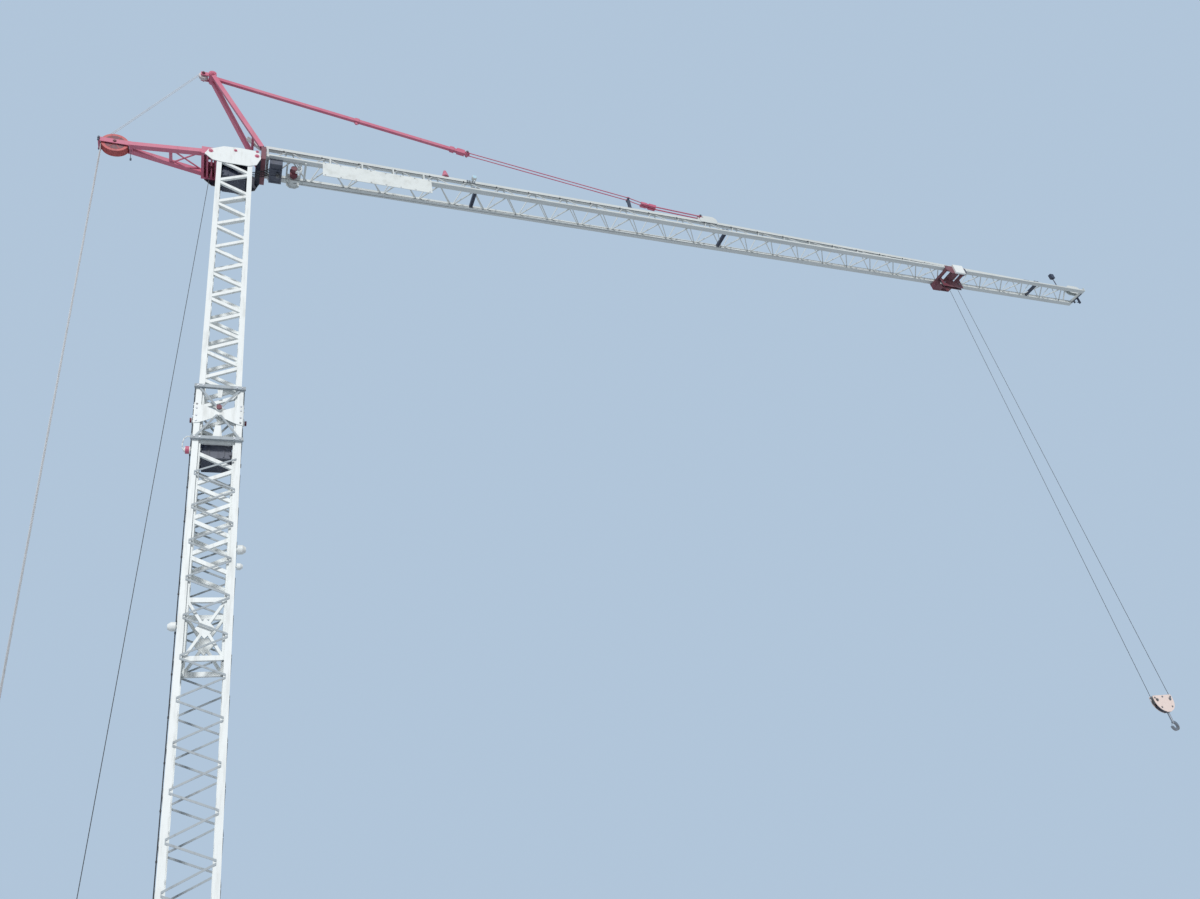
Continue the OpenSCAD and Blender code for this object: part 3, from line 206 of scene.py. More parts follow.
world = bpy.data.worlds.new("world")
bpy.context.scene.world = world
world.use_nodes = True
light = world.node_tree
path = light.nodes.new("ShaderNodeLightPath")
shown = path.outputs["Is Camera Ray"]
for ray in ("Is Glossy Ray", "Is Transmission Ray"):
    either = light.nodes.new("ShaderNodeMath")
    either.operation = "MAXIMUM"
    light.links.new(shown, either.inputs[0])
    light.links.new(path.outputs[ray], either.inputs[1])
    shown = either.outputs[0]
tint = light.nodes.new("ShaderNodeMix")
tint.data_type = "RGBA"
tint.inputs[6].default_value = (FILL, FILL, FILL * FILL_BLUE, 1.0)
tint.inputs[7].default_value = PALE
light.links.new(shown, tint.inputs["Factor"])
light.links.new(tint.outputs[2], light.nodes["Background"].inputs["Color"])
print("Fill light", FILL)

# %% [markdown]
# The floor only has to carry the crane's shadow, so one wide plain square is enough. A curved backdrop would
# need a size for each view, and a flat floor suits all of them.

# %% Floor
FLOOR_HALF = 90.0
FLOOR_COLOUR = rgb(0.62, 0.68, 0.74)
FLOOR_ROUGH = 0.9

floor_mesh = bmesh.new()
bmesh.ops.create_grid(floor_mesh, x_segments=1, y_segments=1, size=FLOOR_HALF)
floor_data = bpy.data.meshes.new("floor")
floor_mesh.to_mesh(floor_data)
floor_mesh.free()
floor = bpy.data.objects.new("floor", floor_data)
bpy.context.scene.collection.objects.link(floor)
floor_finish = Finish("floor")
floor_finish.set(Base_Color=FLOOR_COLOUR, Roughness=FLOOR_ROUGH)
floor_data.materials.append(floor_finish.material)
print("Floor", 2 * FLOOR_HALF, "m wide")

# %% [markdown]
# A broad sun from the camera's side shapes the tubes. Area lamps would have to be huge to light a mast this
# tall evenly, and a sun is as strong at the top as at the foot. Its wide angle keeps the shadows soft, as
# under a thin veil of cloud.

# %% Sun
SUN = 2.1
SUN_SPREAD = radians(8)
SUN_WAY = Vector((0.25, 0.90, -0.50))

sun_data = bpy.data.lights.new("sun", "SUN")
sun_data.energy = SUN
sun_data.angle = SUN_SPREAD
sun = bpy.data.objects.new("sun", sun_data)
bpy.context.scene.collection.objects.link(sun)
sun.rotation_mode = "QUATERNION"
sun.rotation_quaternion = SUN_WAY.to_track_quat("-Z", "Y")
print("Sun", SUN)

# %% [markdown]
# Old crane paint is never one flat colour. It has chalked in the weather, rain has drawn faint streaks down
# it, dust lies in it, and here and there a chip shows the rusty steel. A painted picture could show all of
# that, but it would need each piece unfolded. Noise at different sizes does it on every piece at once: broad
# for the chalk, stretched along the height for the streaks, and fine for chips and the skin of the paint.

# %% Recipe of the paints
CHALK_SIZE = 1.3
STREAK_SIZE = 3.0
DUST_SIZE = 9.0
PATCH_SIZE = 2.1
CHIP_SIZE = 55.0
SKIN_SIZE = 140.0
CHALK_WHITE = 0.92
BARE_RUST = rgb(0.20, 0.075, 0.035)
# Painted shade, laid on the inner faces of plates and cheeks
PAINTED_SHADE = rgb(0.022, 0.026, 0.045)
WORN_PALE = rgb(0.66, 0.60, 0.60)
NO_LEVEL = 99.0


def paint(name, colour, dirt, rust=0.3, rough=0.42, streak=0.5, tall=(5, 5, 0.5), inner=0.0,
          above=NO_LEVEL):
    """Weathered paint. Within inner of the middle plane, below the level above, it is dark as painted shade.
    With no inner, it is worn pale above that level."""
    finish = Finish(name)
    where = finish.place()
    chalk = finish.noise(where, CHALK_SIZE, 4).step(0.35, 0.7)
    streaks = finish.noise(finish.place(scale=tall), STREAK_SIZE, 4, 0.6).step(0.48, 0.72)
    dust = finish.noise(where, DUST_SIZE, 5, 0.65).step(0.45, 0.8)
    patches = finish.noise(where, PATCH_SIZE, 2).step(0.50, 0.66)
    chips = finish.noise(where, CHIP_SIZE, 3, 0.7).step(0.665, 0.70) * patches * rust
    pale = tuple(c + (CHALK_WHITE - c) * 0.12 for c in colour)
    body = finish.blend(chalk * 0.8, rgb(*colour), rgb(*pale))
    dirt_and_shade = finish.blend(streaks * streak * 0.55 + dust * 0.10, body, rgb(*dirt))
    height = finish.node("ShaderNodeSeparateXYZ", {}, {"Vector": where}, 2)
    # Painted shade: within inner of the middle plane and below the level above, the colour turns dark.
    if inner:
        sideways = finish.node("ShaderNodeSeparateXYZ", {}, {"Vector": where}, 1)
        outside = sideways.maths("ABSOLUTE", sideways).step(inner - 0.0005, inner)
        shown = outside.maths("MAXIMUM", outside, height.step(above, above + 0.01))
        dirt_and_shade = finish.blend(shown, PAINTED_SHADE, dirt_and_shade)
    elif above < NO_LEVEL:
        dirt_and_shade = finish.blend(height.step(above, above + 0.01), dirt_and_shade, WORN_PALE)
    finish.set(
        Base_Color=finish.blend(chips, dirt_and_shade, BARE_RUST),
        Roughness=rough + chalk * 0.14 + streaks * 0.12 + chips * 0.2,
        Normal=finish.bump(finish.noise(where, SKIN_SIZE, 2) * 0.4 - chips * 2.0, 0.25, 0.0012),
    )
    return finish.material


# %% [markdown]
# One recipe makes all the paints of the crane. They could be copies with other colours, but then a better
# streak would have to be drawn again in every copy. The mast is white, and the jib a darker white, which is
# painted shade on the jib seen from below. The collars are grey, and the outer lacing is grey as painted
# shade on its white braces. The strut, the apex and the base are red. The plates of the head and the cheeks
# of the hook block are painted dark on their inner sides, as painted shade, and the sheaves of the apex have
# worn pale.

# %% Paints of the crane
WHITE = (0.80, 0.84, 0.83)
DUST = (0.42, 0.42, 0.38)
SOOT = (0.16, 0.16, 0.16)
ALONG_JIB = (0.4, 4, 4)
HEAD_INNER = 0.322
HEAD_LEVEL = 16.6
APEX_LEVEL = 17.5
CHEEK_INNER = 0.0355

white_paint = paint("white_paint", WHITE, DUST, rust=0.5)
# Painted shade: the head's plates are dark on their inner faces below HEAD_LEVEL.
head_paint_inner_shade = paint("head_paint_inner_shade", WHITE, DUST, rust=0.5, inner=HEAD_INNER, above=HEAD_LEVEL)
# The jib's white is darker than the mast's as painted shade on the jib, which is seen from below.
jib_paint = paint("jib_paint", (0.62, 0.66, 0.65), (0.36, 0.37, 0.36), rust=0.4, tall=ALONG_JIB)
# On the outer lacing this grey is painted shade on white braces; on clamps, plates and the motor it is their
# paint.
grey_paint = paint("grey_paint", (0.34, 0.39, 0.42), SOOT, rust=0.5, rough=0.5)
red_paint = paint("red_paint", (0.56, 0.115, 0.20), (0.30, 0.14, 0.15), rust=0.4, streak=0.35)
dark_red_paint = paint("dark_red_paint", (0.15, 0.015, 0.034), (0.10, 0.06, 0.06), rust=0.5)
sheave_paint = paint("sheave_paint", (0.52, 0.07, 0.07), (0.12, 0.05, 0.05), rust=0.5, above=APEX_LEVEL)
navy_paint = paint("navy_paint", (0.025, 0.035, 0.07), (0.12, 0.12, 0.12), rust=0.3)
# Painted shade: the cheeks of the hook block are dark on their inner faces.
block_paint = paint("block_paint", (0.80, 0.66, 0.60), (0.42, 0.30, 0.26), rust=0.8, streak=0.15,
                    inner=CHEEK_INNER)
print("Paints ready")

# %% [markdown]
# Screws, wheels and the hook are bare steel, turned or forged and greased. Metal takes its look from what it
# mirrors, so grease is shown as spots that mirror less. Wire rope is twisted from strands. Each strand could
# be a curve, but a rope 16 m long would then have millions of faces. Slanted bands through a thin round bar
# look like its lay from every side.

# %% Steel and wire rope
GREASE_BROWN = rgb(0.05, 0.045, 0.04)
STRANDS_A_METRE = 95.0


def steel(name, colour, rough):
    finish = Finish(name)
    where = finish.place()
    wear = finish.noise(where, 14.0, 5, 0.6).step(0.35, 0.75)
    grease = finish.noise(where, 5.0, 3).step(0.5, 0.65)
    finish.set(
        Base_Color=finish.blend(grease * 0.75, rgb(*colour), GREASE_BROWN),
        Metallic=1.0 - grease * 0.8,
        Roughness=rough + wear * 0.2 - grease * 0.1,
        Normal=finish.bump(finish.noise(finish.place(scale=(1, 1, 9)), 60.0, 3), 0.15, 0.0006),
    )
    return finish.material


def wire_rope(name, colour, shade):
    finish = Finish(name)
    lay = finish.place(turn=(radians(38), 0, radians(25)))
    inputs = {"Vector": lay, "Scale": STRANDS_A_METRE, "Distortion": 0.4, "Detail": 1.0}
    strands = finish.node("ShaderNodeTexWave", {"wave_type": "BANDS", "bands_direction": "Z"}, inputs, 1)
    grime = finish.noise(finish.place(), 3.0, 4).step(0.35, 0.7)
    groove = rgb(*[c * shade for c in colour])
    finish.set(
        Base_Color=finish.blend(strands * 0.7 + grime * 0.2, groove, rgb(*colour)),
        Metallic=0.15,
        Roughness=0.45 + grime * 0.2,
        Normal=finish.bump(strands, 0.8, 0.002),
    )
    return finish.material


bare_steel = steel("greased_steel", (0.34, 0.35, 0.37), 0.38)
bright_rope = wire_rope("bright_rope", (0.86, 0.88, 0.90), 0.74)
dark_rope = wire_rope("dark_rope", (0.16, 0.165, 0.17), 0.4)
print("Steel and ropes ready")

# %% [markdown]
# Cast concrete is clouded, stained by the rain and full of small pores, and the pores are pits in the bump
# as well as dark dots of painted shade. The panel on the jib is a plain painted sheet, a little wavy. The
# sliding pieces and the cables are black plastic with scuffs. Each could be one flat colour from far off, but
# a part is also looked at from close by.

# %% Concrete, sheet and plastic
def concrete():
    finish = Finish("cast_concrete")
    where = finish.place()
    stain = finish.noise(finish.place(scale=(3, 3, 0.7)), 2.0, 5, 0.6).step(0.4, 0.75)
    cloud = finish.noise(where, 1.6, 4)
    pores = finish.noise(where, 38.0, 3, 0.7).step(0.66, 0.74)
    body = finish.blend(cloud, rgb(0.30, 0.29, 0.26), rgb(0.44, 0.43, 0.40))
    finish.set(
        # The dark dots in the pores are painted shade in the pits.
        Base_Color=finish.blend(stain * 0.45 + pores * 0.4, body, rgb(0.14, 0.135, 0.12)),
        Roughness=0.92,
        Normal=finish.bump(finish.noise(where, 70.0, 5, 0.7) - pores * 2.0, 0.5, 0.004),
    )
    return finish.material


def plain_sheet():
    finish = Finish("banner_sheet")
    where = finish.place()
    ripples = finish.noise(finish.place(scale=(1.0, 1, 2.2)), 2.3, 2)
    dust = finish.noise(where, 6.0, 4).step(0.45, 0.75)
    finish.set(
        Base_Color=finish.blend(dust * 0.45, rgb(0.71, 0.755, 0.74), rgb(0.50, 0.52, 0.49)),
        Roughness=0.62 + dust * 0.15,
        Normal=finish.bump(ripples, 0.6, 0.03),
    )
    return finish.material


def black_plastic():
    finish = Finish("slide_plastic")
    scuffs = finish.noise(finish.place(), 25.0, 4).step(0.5, 0.7)
    colour = finish.blend(scuffs, rgb(0.02, 0.02, 0.022), rgb(0.07, 0.07, 0.07))
    finish.set(Base_Color=colour, Roughness=0.6)
    return finish.material


concrete_cast = concrete()
banner_sheet = plain_sheet()
slide_plastic = black_plastic()
print("Concrete, sheet and plastic ready")

# %% [markdown]
# Each node of the frame names the slot that its surface belongs to, and the slot names the finish here. The
# materials could be given out node by node, but a table stays right when a node is added. Two nodes get a
# finish of their own: the sheaves of the guys and the plates of the head.

# %% Finishes on the frame
SLOT_FINISH = {
    "white_paint": white_paint,
    "jib_paint": jib_paint,
    "grey_paint": grey_paint,
    "red_paint": red_paint,
    "dark_red_paint": dark_red_paint,
    "navy_paint": navy_paint,
    "block_paint": block_paint,
    "bare_steel": bare_steel,
    "wire_rope": bright_rope,
    "slide_plastic": slide_plastic,
    "concrete": concrete_cast,
    "banner_sheet": banner_sheet,
}


def dress(node, material):
    data = frame["nodes"][node].data
    data.materials.clear()
    data.materials.append(material)


for subpart in frame["record"]["subparts"]:
    dress(subpart["node"], SLOT_FINISH[subpart["material_slot"]])
dress("guy_sheaves", sheave_paint)
dress("mast_head", head_paint_inner_shade)
print(len(frame["nodes"]), "nodes dressed")

# %% [markdown]
# Every fitting starts as rods and boxes in a bmesh. A box gets a bevel where an edge is near enough to be
# seen, because a real edge always catches a line of light. The bevel could be a modifier, but an operator
# keeps the piece in one mesh with nothing left to apply.

# %% Rods and blocks
def along(a, b):
    """Matrix that lays the Z axis of a shape, centred on the origin, along the line from a to b."""
    a, b = Vector(a), Vector(b)
    return Matrix.Translation((a + b) / 2) @ (b - a).to_track_quat("Z", "Y").to_matrix().to_4x4()


def rod(bm, a, b, radius, sides=12, end_radius=None):
    length = (Vector(b) - Vector(a)).length
    far = radius if end_radius is None else end_radius
    return bmesh.ops.create_cone(bm, cap_ends=True, segments=sides, radius1=radius, radius2=far,
                                 depth=length, matrix=along(a, b))["verts"]


def edges_of(verts):
    """Each edge of the vertices, once and in a fixed order."""
    return list(dict.fromkeys(edge for vert in verts for edge in vert.link_edges))


def block(bm, low, high, round_by=0.0):
    low, high = Vector(low), Vector(high)
    place = Matrix.Translation((low + high) / 2) @ Matrix.Diagonal((*(high - low), 1.0))
    made = bmesh.ops.create_cube(bm, size=1.0, matrix=place)["verts"]
    if round_by:
        bmesh.ops.bevel(bm, geom=edges_of(made), offset=round_by, segments=2, profile=0.5,
                        affect="EDGES", material=-1)


# %% [markdown]
# Bolts, turns of rope and hoses come next. A bolt is a hexagon that narrows a little towards its top, on a
# round washer. A ring is a small circle spun round an axis. A hose could be a curve with a round section,
# but rods with a ball in each bend stay closed and need no conversion.

# %% Bolts, rings and hoses
def hexagon(bm, centre, axis, across, height):
    """Bolt head or nut on a washer, whose seat is at centre and which stands out along axis."""
    centre, axis = Vector(centre), Vector(axis).normalized()
    rod(bm, centre, centre + axis * height * 0.2, across * 0.75, 16)
    rod(bm, centre, centre + axis * height, across / sqrt(3), 6, across / sqrt(3) * 0.94)


def ring(bm, centre, axis, radius, thick, turns=24, sides=8):
    """Round ring, such as one turn of rope, whose middle line has the radius about the axis."""
    centre, axis = Vector(centre), Vector(axis).normalized()
    out = axis.orthogonal().normalized()
    stand = Matrix((out, axis, out.cross(axis))).transposed().to_4x4()
    place = Matrix.Translation(centre + out * radius) @ stand
    made = bmesh.ops.create_circle(bm, segments=sides, radius=thick, matrix=place)["verts"]
    bmesh.ops.spin(bm, geom=made + edges_of(made), cent=centre, axis=axis, angle=2 * pi, steps=turns,
                   use_merge=True)


def hose(bm, points, radius, sides=8):
    """Cable through points, with a ball in each bend."""
    for a, b in zip(points, points[1:]):
        rod(bm, a, b, radius, sides)
    for p in points[1:-1]:
        place = Matrix.Translation(p)
        bmesh.ops.create_uvsphere(bm, u_segments=sides, v_segments=6, radius=radius, matrix=place)


# %% [markdown]
# Each bmesh becomes one named piece that rides on the body that carries it, so it turns, slides or hangs
# with that body. Pieces could be parented to the nodes, but riding by the body's name works at every pose.
# Each piece is given its finish directly.

# %% Finishing a piece
def finish_piece(name, bm, body, material, smooth=False):
    data = bpy.data.meshes.new(name)
    for face in bm.faces:
        face.smooth = smooth
    bm.to_mesh(data)
    bm.free()
    data.materials.append(material)
    piece = bpy.data.objects.new(name, data)
    bpy.context.scene.collection.objects.link(piece)
    if body:
        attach(piece, body)
    print(name, len(data.polygons), "faces")
    return piece


# %% [markdown]
# Ropes. The four guys hold the strut down to the platform. A rope could be simulated, but a taut one is
# straight. So each is a tube with rings of vertices at its two ends only. Their places come from the frame's
# own rods.

# %% Ropes between platform, mast and hook
BOTH = (-1, 1)
ROPE_R = 0.005
ROPE_SIDES = 10
GUYS = 4
FALLS_TOP_HALF = 0.15


def rope_piece(name, runs, node, material, radius=ROPE_R):
    """Straight ropes in one piece."""
    bm = bmesh.new()
    for a, b in runs:
        rod(bm, a, b, radius, ROPE_SIDES)
    piece = finish_piece(name, bm, None, material, smooth=True)
    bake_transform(piece)
    if node:
        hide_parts(node)


low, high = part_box("guy_ropes")
guy_x = (low.x + high.x) / 2
guy_ys = [low.y + ROPE_R + k * (high.y - low.y - 2 * ROPE_R) / (GUYS - 1) for k in range(GUYS)]
rope_piece("guys", [((guy_x, y, low.z), (guy_x, y, high.z)) for y in guy_ys],
           "guy_ropes", bright_rope)

low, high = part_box("hoist_rope")
rope_piece("hoist_line", [((low.x + ROPE_R, 0, low.z), (high.x - ROPE_R, 0, high.z))],
           "hoist_rope", dark_rope)

low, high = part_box("hoist_falls")
trolley_x = (low.x + high.x) / 2
falls_low_half = (high.x - low.x) / 2 - ROPE_R
falls_top = high.z
rope_piece("rope_falls",
           [((trolley_x + s * FALLS_TOP_HALF, 0, falls_top), (trolley_x + s * falls_low_half, 0, low.z))
            for s in BOTH],
           "hoist_falls", dark_rope)

# %% [markdown]
# Along the jib the hoist rope runs under the floor, from a roller below the machinery box to the trolley,
# and from the trolley on to an anchor below the tip. A thinner rope pulls the trolley. One long rope would
# slide past the trolley at the wrong speed, so each is split there.

# %% Ropes along the jib
GROOVE = 0.016
SHEAVE_R = 0.1
ROLLER_R = 0.035
PULL_DRUM_X = 1.102
PULL_Y = 0.12
PULL_R = 0.0035

sheave_low, sheave_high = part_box("trolley_sheaves")
run_z = falls_top + (sheave_high.z - sheave_low.z) / 2 - GROOVE + ROPE_R
rear_sheave_x = sheave_low.x + SHEAVE_R
front_sheave_x = sheave_high.x - SHEAVE_R
frame_low, frame_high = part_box("trolley_frame")
box_low, box_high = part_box("jib_machinery")
chords_low, chords_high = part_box("jib_lower_chords")

roller = Vector((box_high.x - 0.08, 0, box_low.z - ROLLER_R - 0.012))
rope_piece("rear_run", [((roller.x, 0, roller.z - ROLLER_R - ROPE_R), (rear_sheave_x, 0, run_z))],
           None, dark_rope)
anchor_x = chords_high.x + 0.02
rope_piece("front_run", [((front_sheave_x, 0, run_z), (anchor_x, 0, run_z))],
           None, dark_rope)

pull_z = chords_low.z - 0.05
rope_piece("pull_rear", [((PULL_DRUM_X, PULL_Y, chords_low.z - 0.2), (frame_low.x, PULL_Y, pull_z))],
           None, dark_rope, PULL_R)
rope_piece("pull_front", [((frame_high.x, PULL_Y, pull_z), (chords_high.x - 0.02, PULL_Y, pull_z))],
           None, dark_rope, PULL_R)

# %% [markdown]
# The hoist rope comes out round a small roller between two cheeks. Below the tip it ends in a tapered socket
# on a plate, beside the end of the thinner rope. The roller could have a turned groove, but between its
# cheeks a plain drum looks the same.

# %% Roller and anchor of the ropes
bm = bmesh.new()
rod(bm, (roller.x, -0.03, roller.z), (roller.x, 0.03, roller.z), ROLLER_R, 24)
for s in BOTH:
    block(bm, (roller.x - 0.03, s * 0.035 - 0.005, roller.z - 0.015),
          (roller.x + 0.03, s * 0.035 + 0.005, box_low.z))
    hexagon(bm, (roller.x, s * 0.04, roller.z), (0, s, 0), 0.024, 0.012)
finish_piece("deflection_roller", bm, "upper_mast", bare_steel)

bracket_top = chords_low.z + 0.02
bm = bmesh.new()
block(bm, (anchor_x - 0.01, -0.03, run_z - 0.03), (anchor_x + 0.01, 0.03, bracket_top), 0.004)
block(bm, (anchor_x - 0.035, -chords_high.y + 0.07, chords_low.z + 0.01),
      (anchor_x + 0.012, chords_high.y - 0.07, chords_low.z + 0.03), 0.004)
rod(bm, (anchor_x - 0.09, 0, run_z), (anchor_x - 0.01, 0, run_z), 0.014, 16, 0.018)
block(bm, (anchor_x - 0.03, PULL_Y - 0.02, pull_z - 0.02),
      (anchor_x - 0.01, PULL_Y + 0.02, bracket_top), 0.003)
finish_piece("rope_anchor", bm, "upper_mast", navy_paint)

# %% [markdown]
# Bolts hold the turntable to the slewing ring and the mast's foot to the platform. They stand in rings and
# rows, so loops set them. Each bolt could be a piece, but no bolt moves by itself, so a whole pattern is
# one. The outer ring keeps only the bolts that stand clear of the platform's beams.

# %% Bolts of the ring and of the mast's foot
UP = (0, 0, 1)
RING_BOLTS = 48
INNER_RING = 0.30
OUTER_RING = 0.44
CLEAR_X = 0.39
CLEAR_Y = 0.32
ROW_BOLTS = 7
ROW_STEP = 0.10


def bolts(name, places, across, height, body, material=bare_steel):
    """One piece of bolts, each given by its seat and its direction."""
    bm = bmesh.new()
    for seat, axis in places:
        hexagon(bm, seat, axis, across, height)
    finish_piece(name, bm, body, material)


table_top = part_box("turntable")[1].z
places = []
for k in range(RING_BOLTS):
    turn = 2 * pi * k / RING_BOLTS
    for radius in (INNER_RING, OUTER_RING):
        x, y = radius * cos(turn), radius * sin(turn)
        if radius == INNER_RING or (abs(y) < CLEAR_Y and abs(x) < CLEAR_X):
            places.append(((x, y, table_top), UP))
bolts("turntable_bolts", places, 0.026, 0.014, "platform")

foot_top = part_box("lower_mast_foot")[1]
rim = foot_top.x - 0.025
places = []
for k in range(ROW_BOLTS):
    step = -0.30 + k * ROW_STEP
    for s in BOTH:
        places.append(((s * rim, step, foot_top.z), UP))
        places.append(((step, s * rim, foot_top.z), UP))
bolts("foot_bolts", places, 0.030, 0.016, "platform")

# %% [markdown]
# The crane is levelled by turning its four screws. Each head carries a bar with knobs to turn it by, and a
# locking ring with four pegs sits on the sleeve of the arm. The four corners are alike, so two loops over
# the signs place them, which is shorter than a mirror and leaves nothing to turn the right way out.

# %% Levelling screws
SCREW_IN = 0.0595
BAR_HALF = 0.13
LOCK_H = 0.022
PEGS = 4
PEG_TURN = 0.4

screw_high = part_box("jack_screws")[1]
arm_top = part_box("chassis_frame")[1].z
screw_at = screw_high.x - SCREW_IN
bar_z = screw_high.z - 0.015
bm = bmesh.new()
for sx in BOTH:
    for sy in BOTH:
        x, y = sx * screw_at, sy * screw_at
        rod(bm, (x - BAR_HALF, y, bar_z), (x + BAR_HALF, y, bar_z), 0.009, 16)
        for end in BOTH:
            rod(bm, (x + end * 0.12, y, bar_z), (x + end * 0.14, y, bar_z), 0.014, 16)
        rod(bm, (x, y, arm_top), (x, y, arm_top + LOCK_H), 0.056, 24)
        at = Vector((x, y, arm_top + LOCK_H / 2))
        for k in range(PEGS):
            way = Vector((cos(k * pi / 2 + PEG_TURN), sin(k * pi / 2 + PEG_TURN), 0))
            rod(bm, at + way * 0.05, at + way * 0.075, 0.010, 12)
finish_piece("jack_handles", bm, "chassis", bare_steel)

# %% [markdown]
# Ballast slabs come out of a mould with rounded edges, and the edges make the joints of the stack show. One
# tall box with grooves would look much the same from the front, but separate bevelled slabs also have the
# right corners. They replace the plain stack of the frame.

# %% Ballast slabs
SLABS = 5
SLAB_ROUND = 0.012
SLAB_JOINT = 0.0005

slab_low, slab_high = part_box("ballast_slabs")
slab_h = (slab_high.z - slab_low.z) / SLABS
bm = bmesh.new()
for k in range(SLABS):
    z = slab_low.z + k * slab_h
    block(bm, (slab_low.x, slab_low.y, z), (slab_high.x, slab_high.y, z + slab_h - SLAB_JOINT), SLAB_ROUND)
slabs = finish_piece("slabs", bm, "platform", concrete_cast)
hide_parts("ballast_slabs")

# %% [markdown]
# Two loops of round bar are cast into each end of a slab, by which it is lifted on. They could be bent bars,
# but a ring sunk halfway into the concrete gives such a loop at once. Threaded rods with a flat bar over the
# top clamp the stack to the platform, each with a nut and a thinner lock nut.

# %% Loops and clamps of the ballast
LOOP_IN = 0.13
LOOP_R = 0.042
LOOP_BAR = 0.009
CLAMP_Y = 0.40
CLAMP_BAR = 0.022

bm = bmesh.new()
for k in range(SLABS):
    z = slab_low.z + (k + 0.55) * slab_h
    for x in (slab_low.x + LOOP_IN, slab_high.x - LOOP_IN):
        for s in BOTH:
            ring(bm, (x, s * slab_high.y, z), (1, 0, 0), LOOP_R, LOOP_BAR, 20, 8)
finish_piece("lifting_loops", bm, "platform", bare_steel, smooth=True)

bm = bmesh.new()
for s in BOTH:
    y = s * CLAMP_Y
    for x in (slab_low.x - 0.020, slab_high.x + 0.020):
        rod(bm, (x, y, slab_low.z), (x, y, slab_high.z + 0.075), 0.012, 12)
        hexagon(bm, (x, y, slab_high.z + CLAMP_BAR), UP, 0.040, 0.022)
        hexagon(bm, (x, y, slab_high.z + 2 * CLAMP_BAR), UP, 0.040, 0.012)
    block(bm, (slab_low.x - 0.05, y - 0.035, slab_high.z),
          (slab_high.x + 0.05, y + 0.035, slab_high.z + CLAMP_BAR), 0.003)
finish_piece("ballast_clamps", bm, "platform", grey_paint)

# %% [markdown]
# The hoist winch carries one tight layer of rope. The rope on it is a long screw line, but rings side by
# side look the same and close on themselves. Its motor is cooled by thin fins under a cowl, with a terminal
# box on top, and the brake sits outside the other cheek.

# %% Hoist winch
DRUM_R = 0.13
TURNS_OF_ROPE = 41
TURN_PITCH = 0.0105
FINS = 9
FIN_PITCH = 0.012
BRAKE_BOLTS = 8
BRAKE_R = 0.078

winch_low, winch_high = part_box("hoist_winch")
drum_x = winch_low.x + 0.18
drum_z = winch_high.z - 0.175
bm = bmesh.new()
for k in range(TURNS_OF_ROPE):
    ring(bm, (drum_x, -0.21 + k * TURN_PITCH, drum_z), (0, 1, 0), DRUM_R + ROPE_R, ROPE_R, 32, 6)
finish_piece("rope_turns", bm, "platform", bright_rope, smooth=True)


def disc(bm, y_from, y_to, radius, end_radius=None, sides=32):
    """Round part of the winch, on the axis of its drum."""
    rod(bm, (drum_x, y_from, drum_z), (drum_x, y_to, drum_z), radius, sides, end_radius)


bm = bmesh.new()
for k in range(FINS):
    y = 0.275 + k * FIN_PITCH
    disc(bm, y, y + 0.005, 0.112)
disc(bm, 0.40, 0.435, 0.085, 0.070)
block(bm, (drum_x - 0.05, 0.29, drum_z + 0.095), (drum_x + 0.05, 0.37, drum_z + 0.150), 0.006)
disc(bm, -0.26, -0.335, 0.095)
disc(bm, -0.335, -0.350, 0.060, sides=24)
finish_piece("winch_motor", bm, "platform", grey_paint)

places = []
for k in range(BRAKE_BOLTS):
    turn = 2 * pi * k / BRAKE_BOLTS
    places.append(((drum_x + BRAKE_R * cos(turn), -0.335, drum_z + BRAKE_R * sin(turn)), (0, -1, 0)))
for sx in BOTH:
    for sy in BOTH:
        places.append(((drum_x + sx * 0.15, sy * 0.22, winch_low.z + 0.010), UP))
bolts("winch_bolts", places, 0.022, 0.011, "platform")

# %% [markdown]
# A sheet-metal cabinet has a door with a folded edge and slots that let the warm air out, and a lip round
# the roof sheds the rain. The slots could be cut with a boolean, but thin louvres laid on the door are
# what such doors have. Hinges stand on one side, and a handle with a grip on the other.

# %% Control cabinet
LOUVRES = 9
LOUVRE_PITCH = 0.022

cab_low, cab_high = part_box("control_cabinet")
front = cab_low.y
floor_z = cab_low.z
bm = bmesh.new()
block(bm, (cab_low.x + 0.02, front - 0.012, floor_z + 0.05), (cab_high.x - 0.02, front, cab_high.z - 0.04),
      0.003)
block(bm, (cab_low.x - 0.015, front - 0.025, cab_high.z),
      (cab_high.x + 0.015, cab_high.y + 0.015, cab_high.z + 0.018), 0.004)
for k in range(LOUVRES):
    z = floor_z + 0.12 + k * LOUVRE_PITCH
    block(bm, (cab_low.x + 0.09, front - 0.019, z), (cab_high.x - 0.09, front - 0.011, z + 0.008), 0.002)
finish_piece("cabinet_door", bm, "platform", white_paint)

hinge_x = cab_low.x + 0.02
handle_x = cab_high.x - 0.055
bm = bmesh.new()
for z in (floor_z + 0.15, floor_z + 0.45, cab_high.z - 0.15):
    rod(bm, (hinge_x, front - 0.016, z - 0.03), (hinge_x, front - 0.016, z + 0.03), 0.009, 12)
block(bm, (handle_x - 0.015, front - 0.022, floor_z + 0.42),
      (handle_x + 0.015, front - 0.012, floor_z + 0.54), 0.003)
hose(bm, [(handle_x, front - 0.014, floor_z + 0.45), (handle_x, front - 0.040, floor_z + 0.46),
          (handle_x, front - 0.040, floor_z + 0.52), (handle_x, front - 0.014, floor_z + 0.53)], 0.006)
finish_piece("cabinet_handle", bm, "platform", bare_steel)

# %% [markdown]
# Three hoses leave the cabinet and dive through the deck, and a thin plate covers the deck there. The hoses
# could be curves, but they are short and stiff, so a few straight lengths with balls in the bends are enough.

# %% Hoses and deck plate
CABINET_HOSES = 3

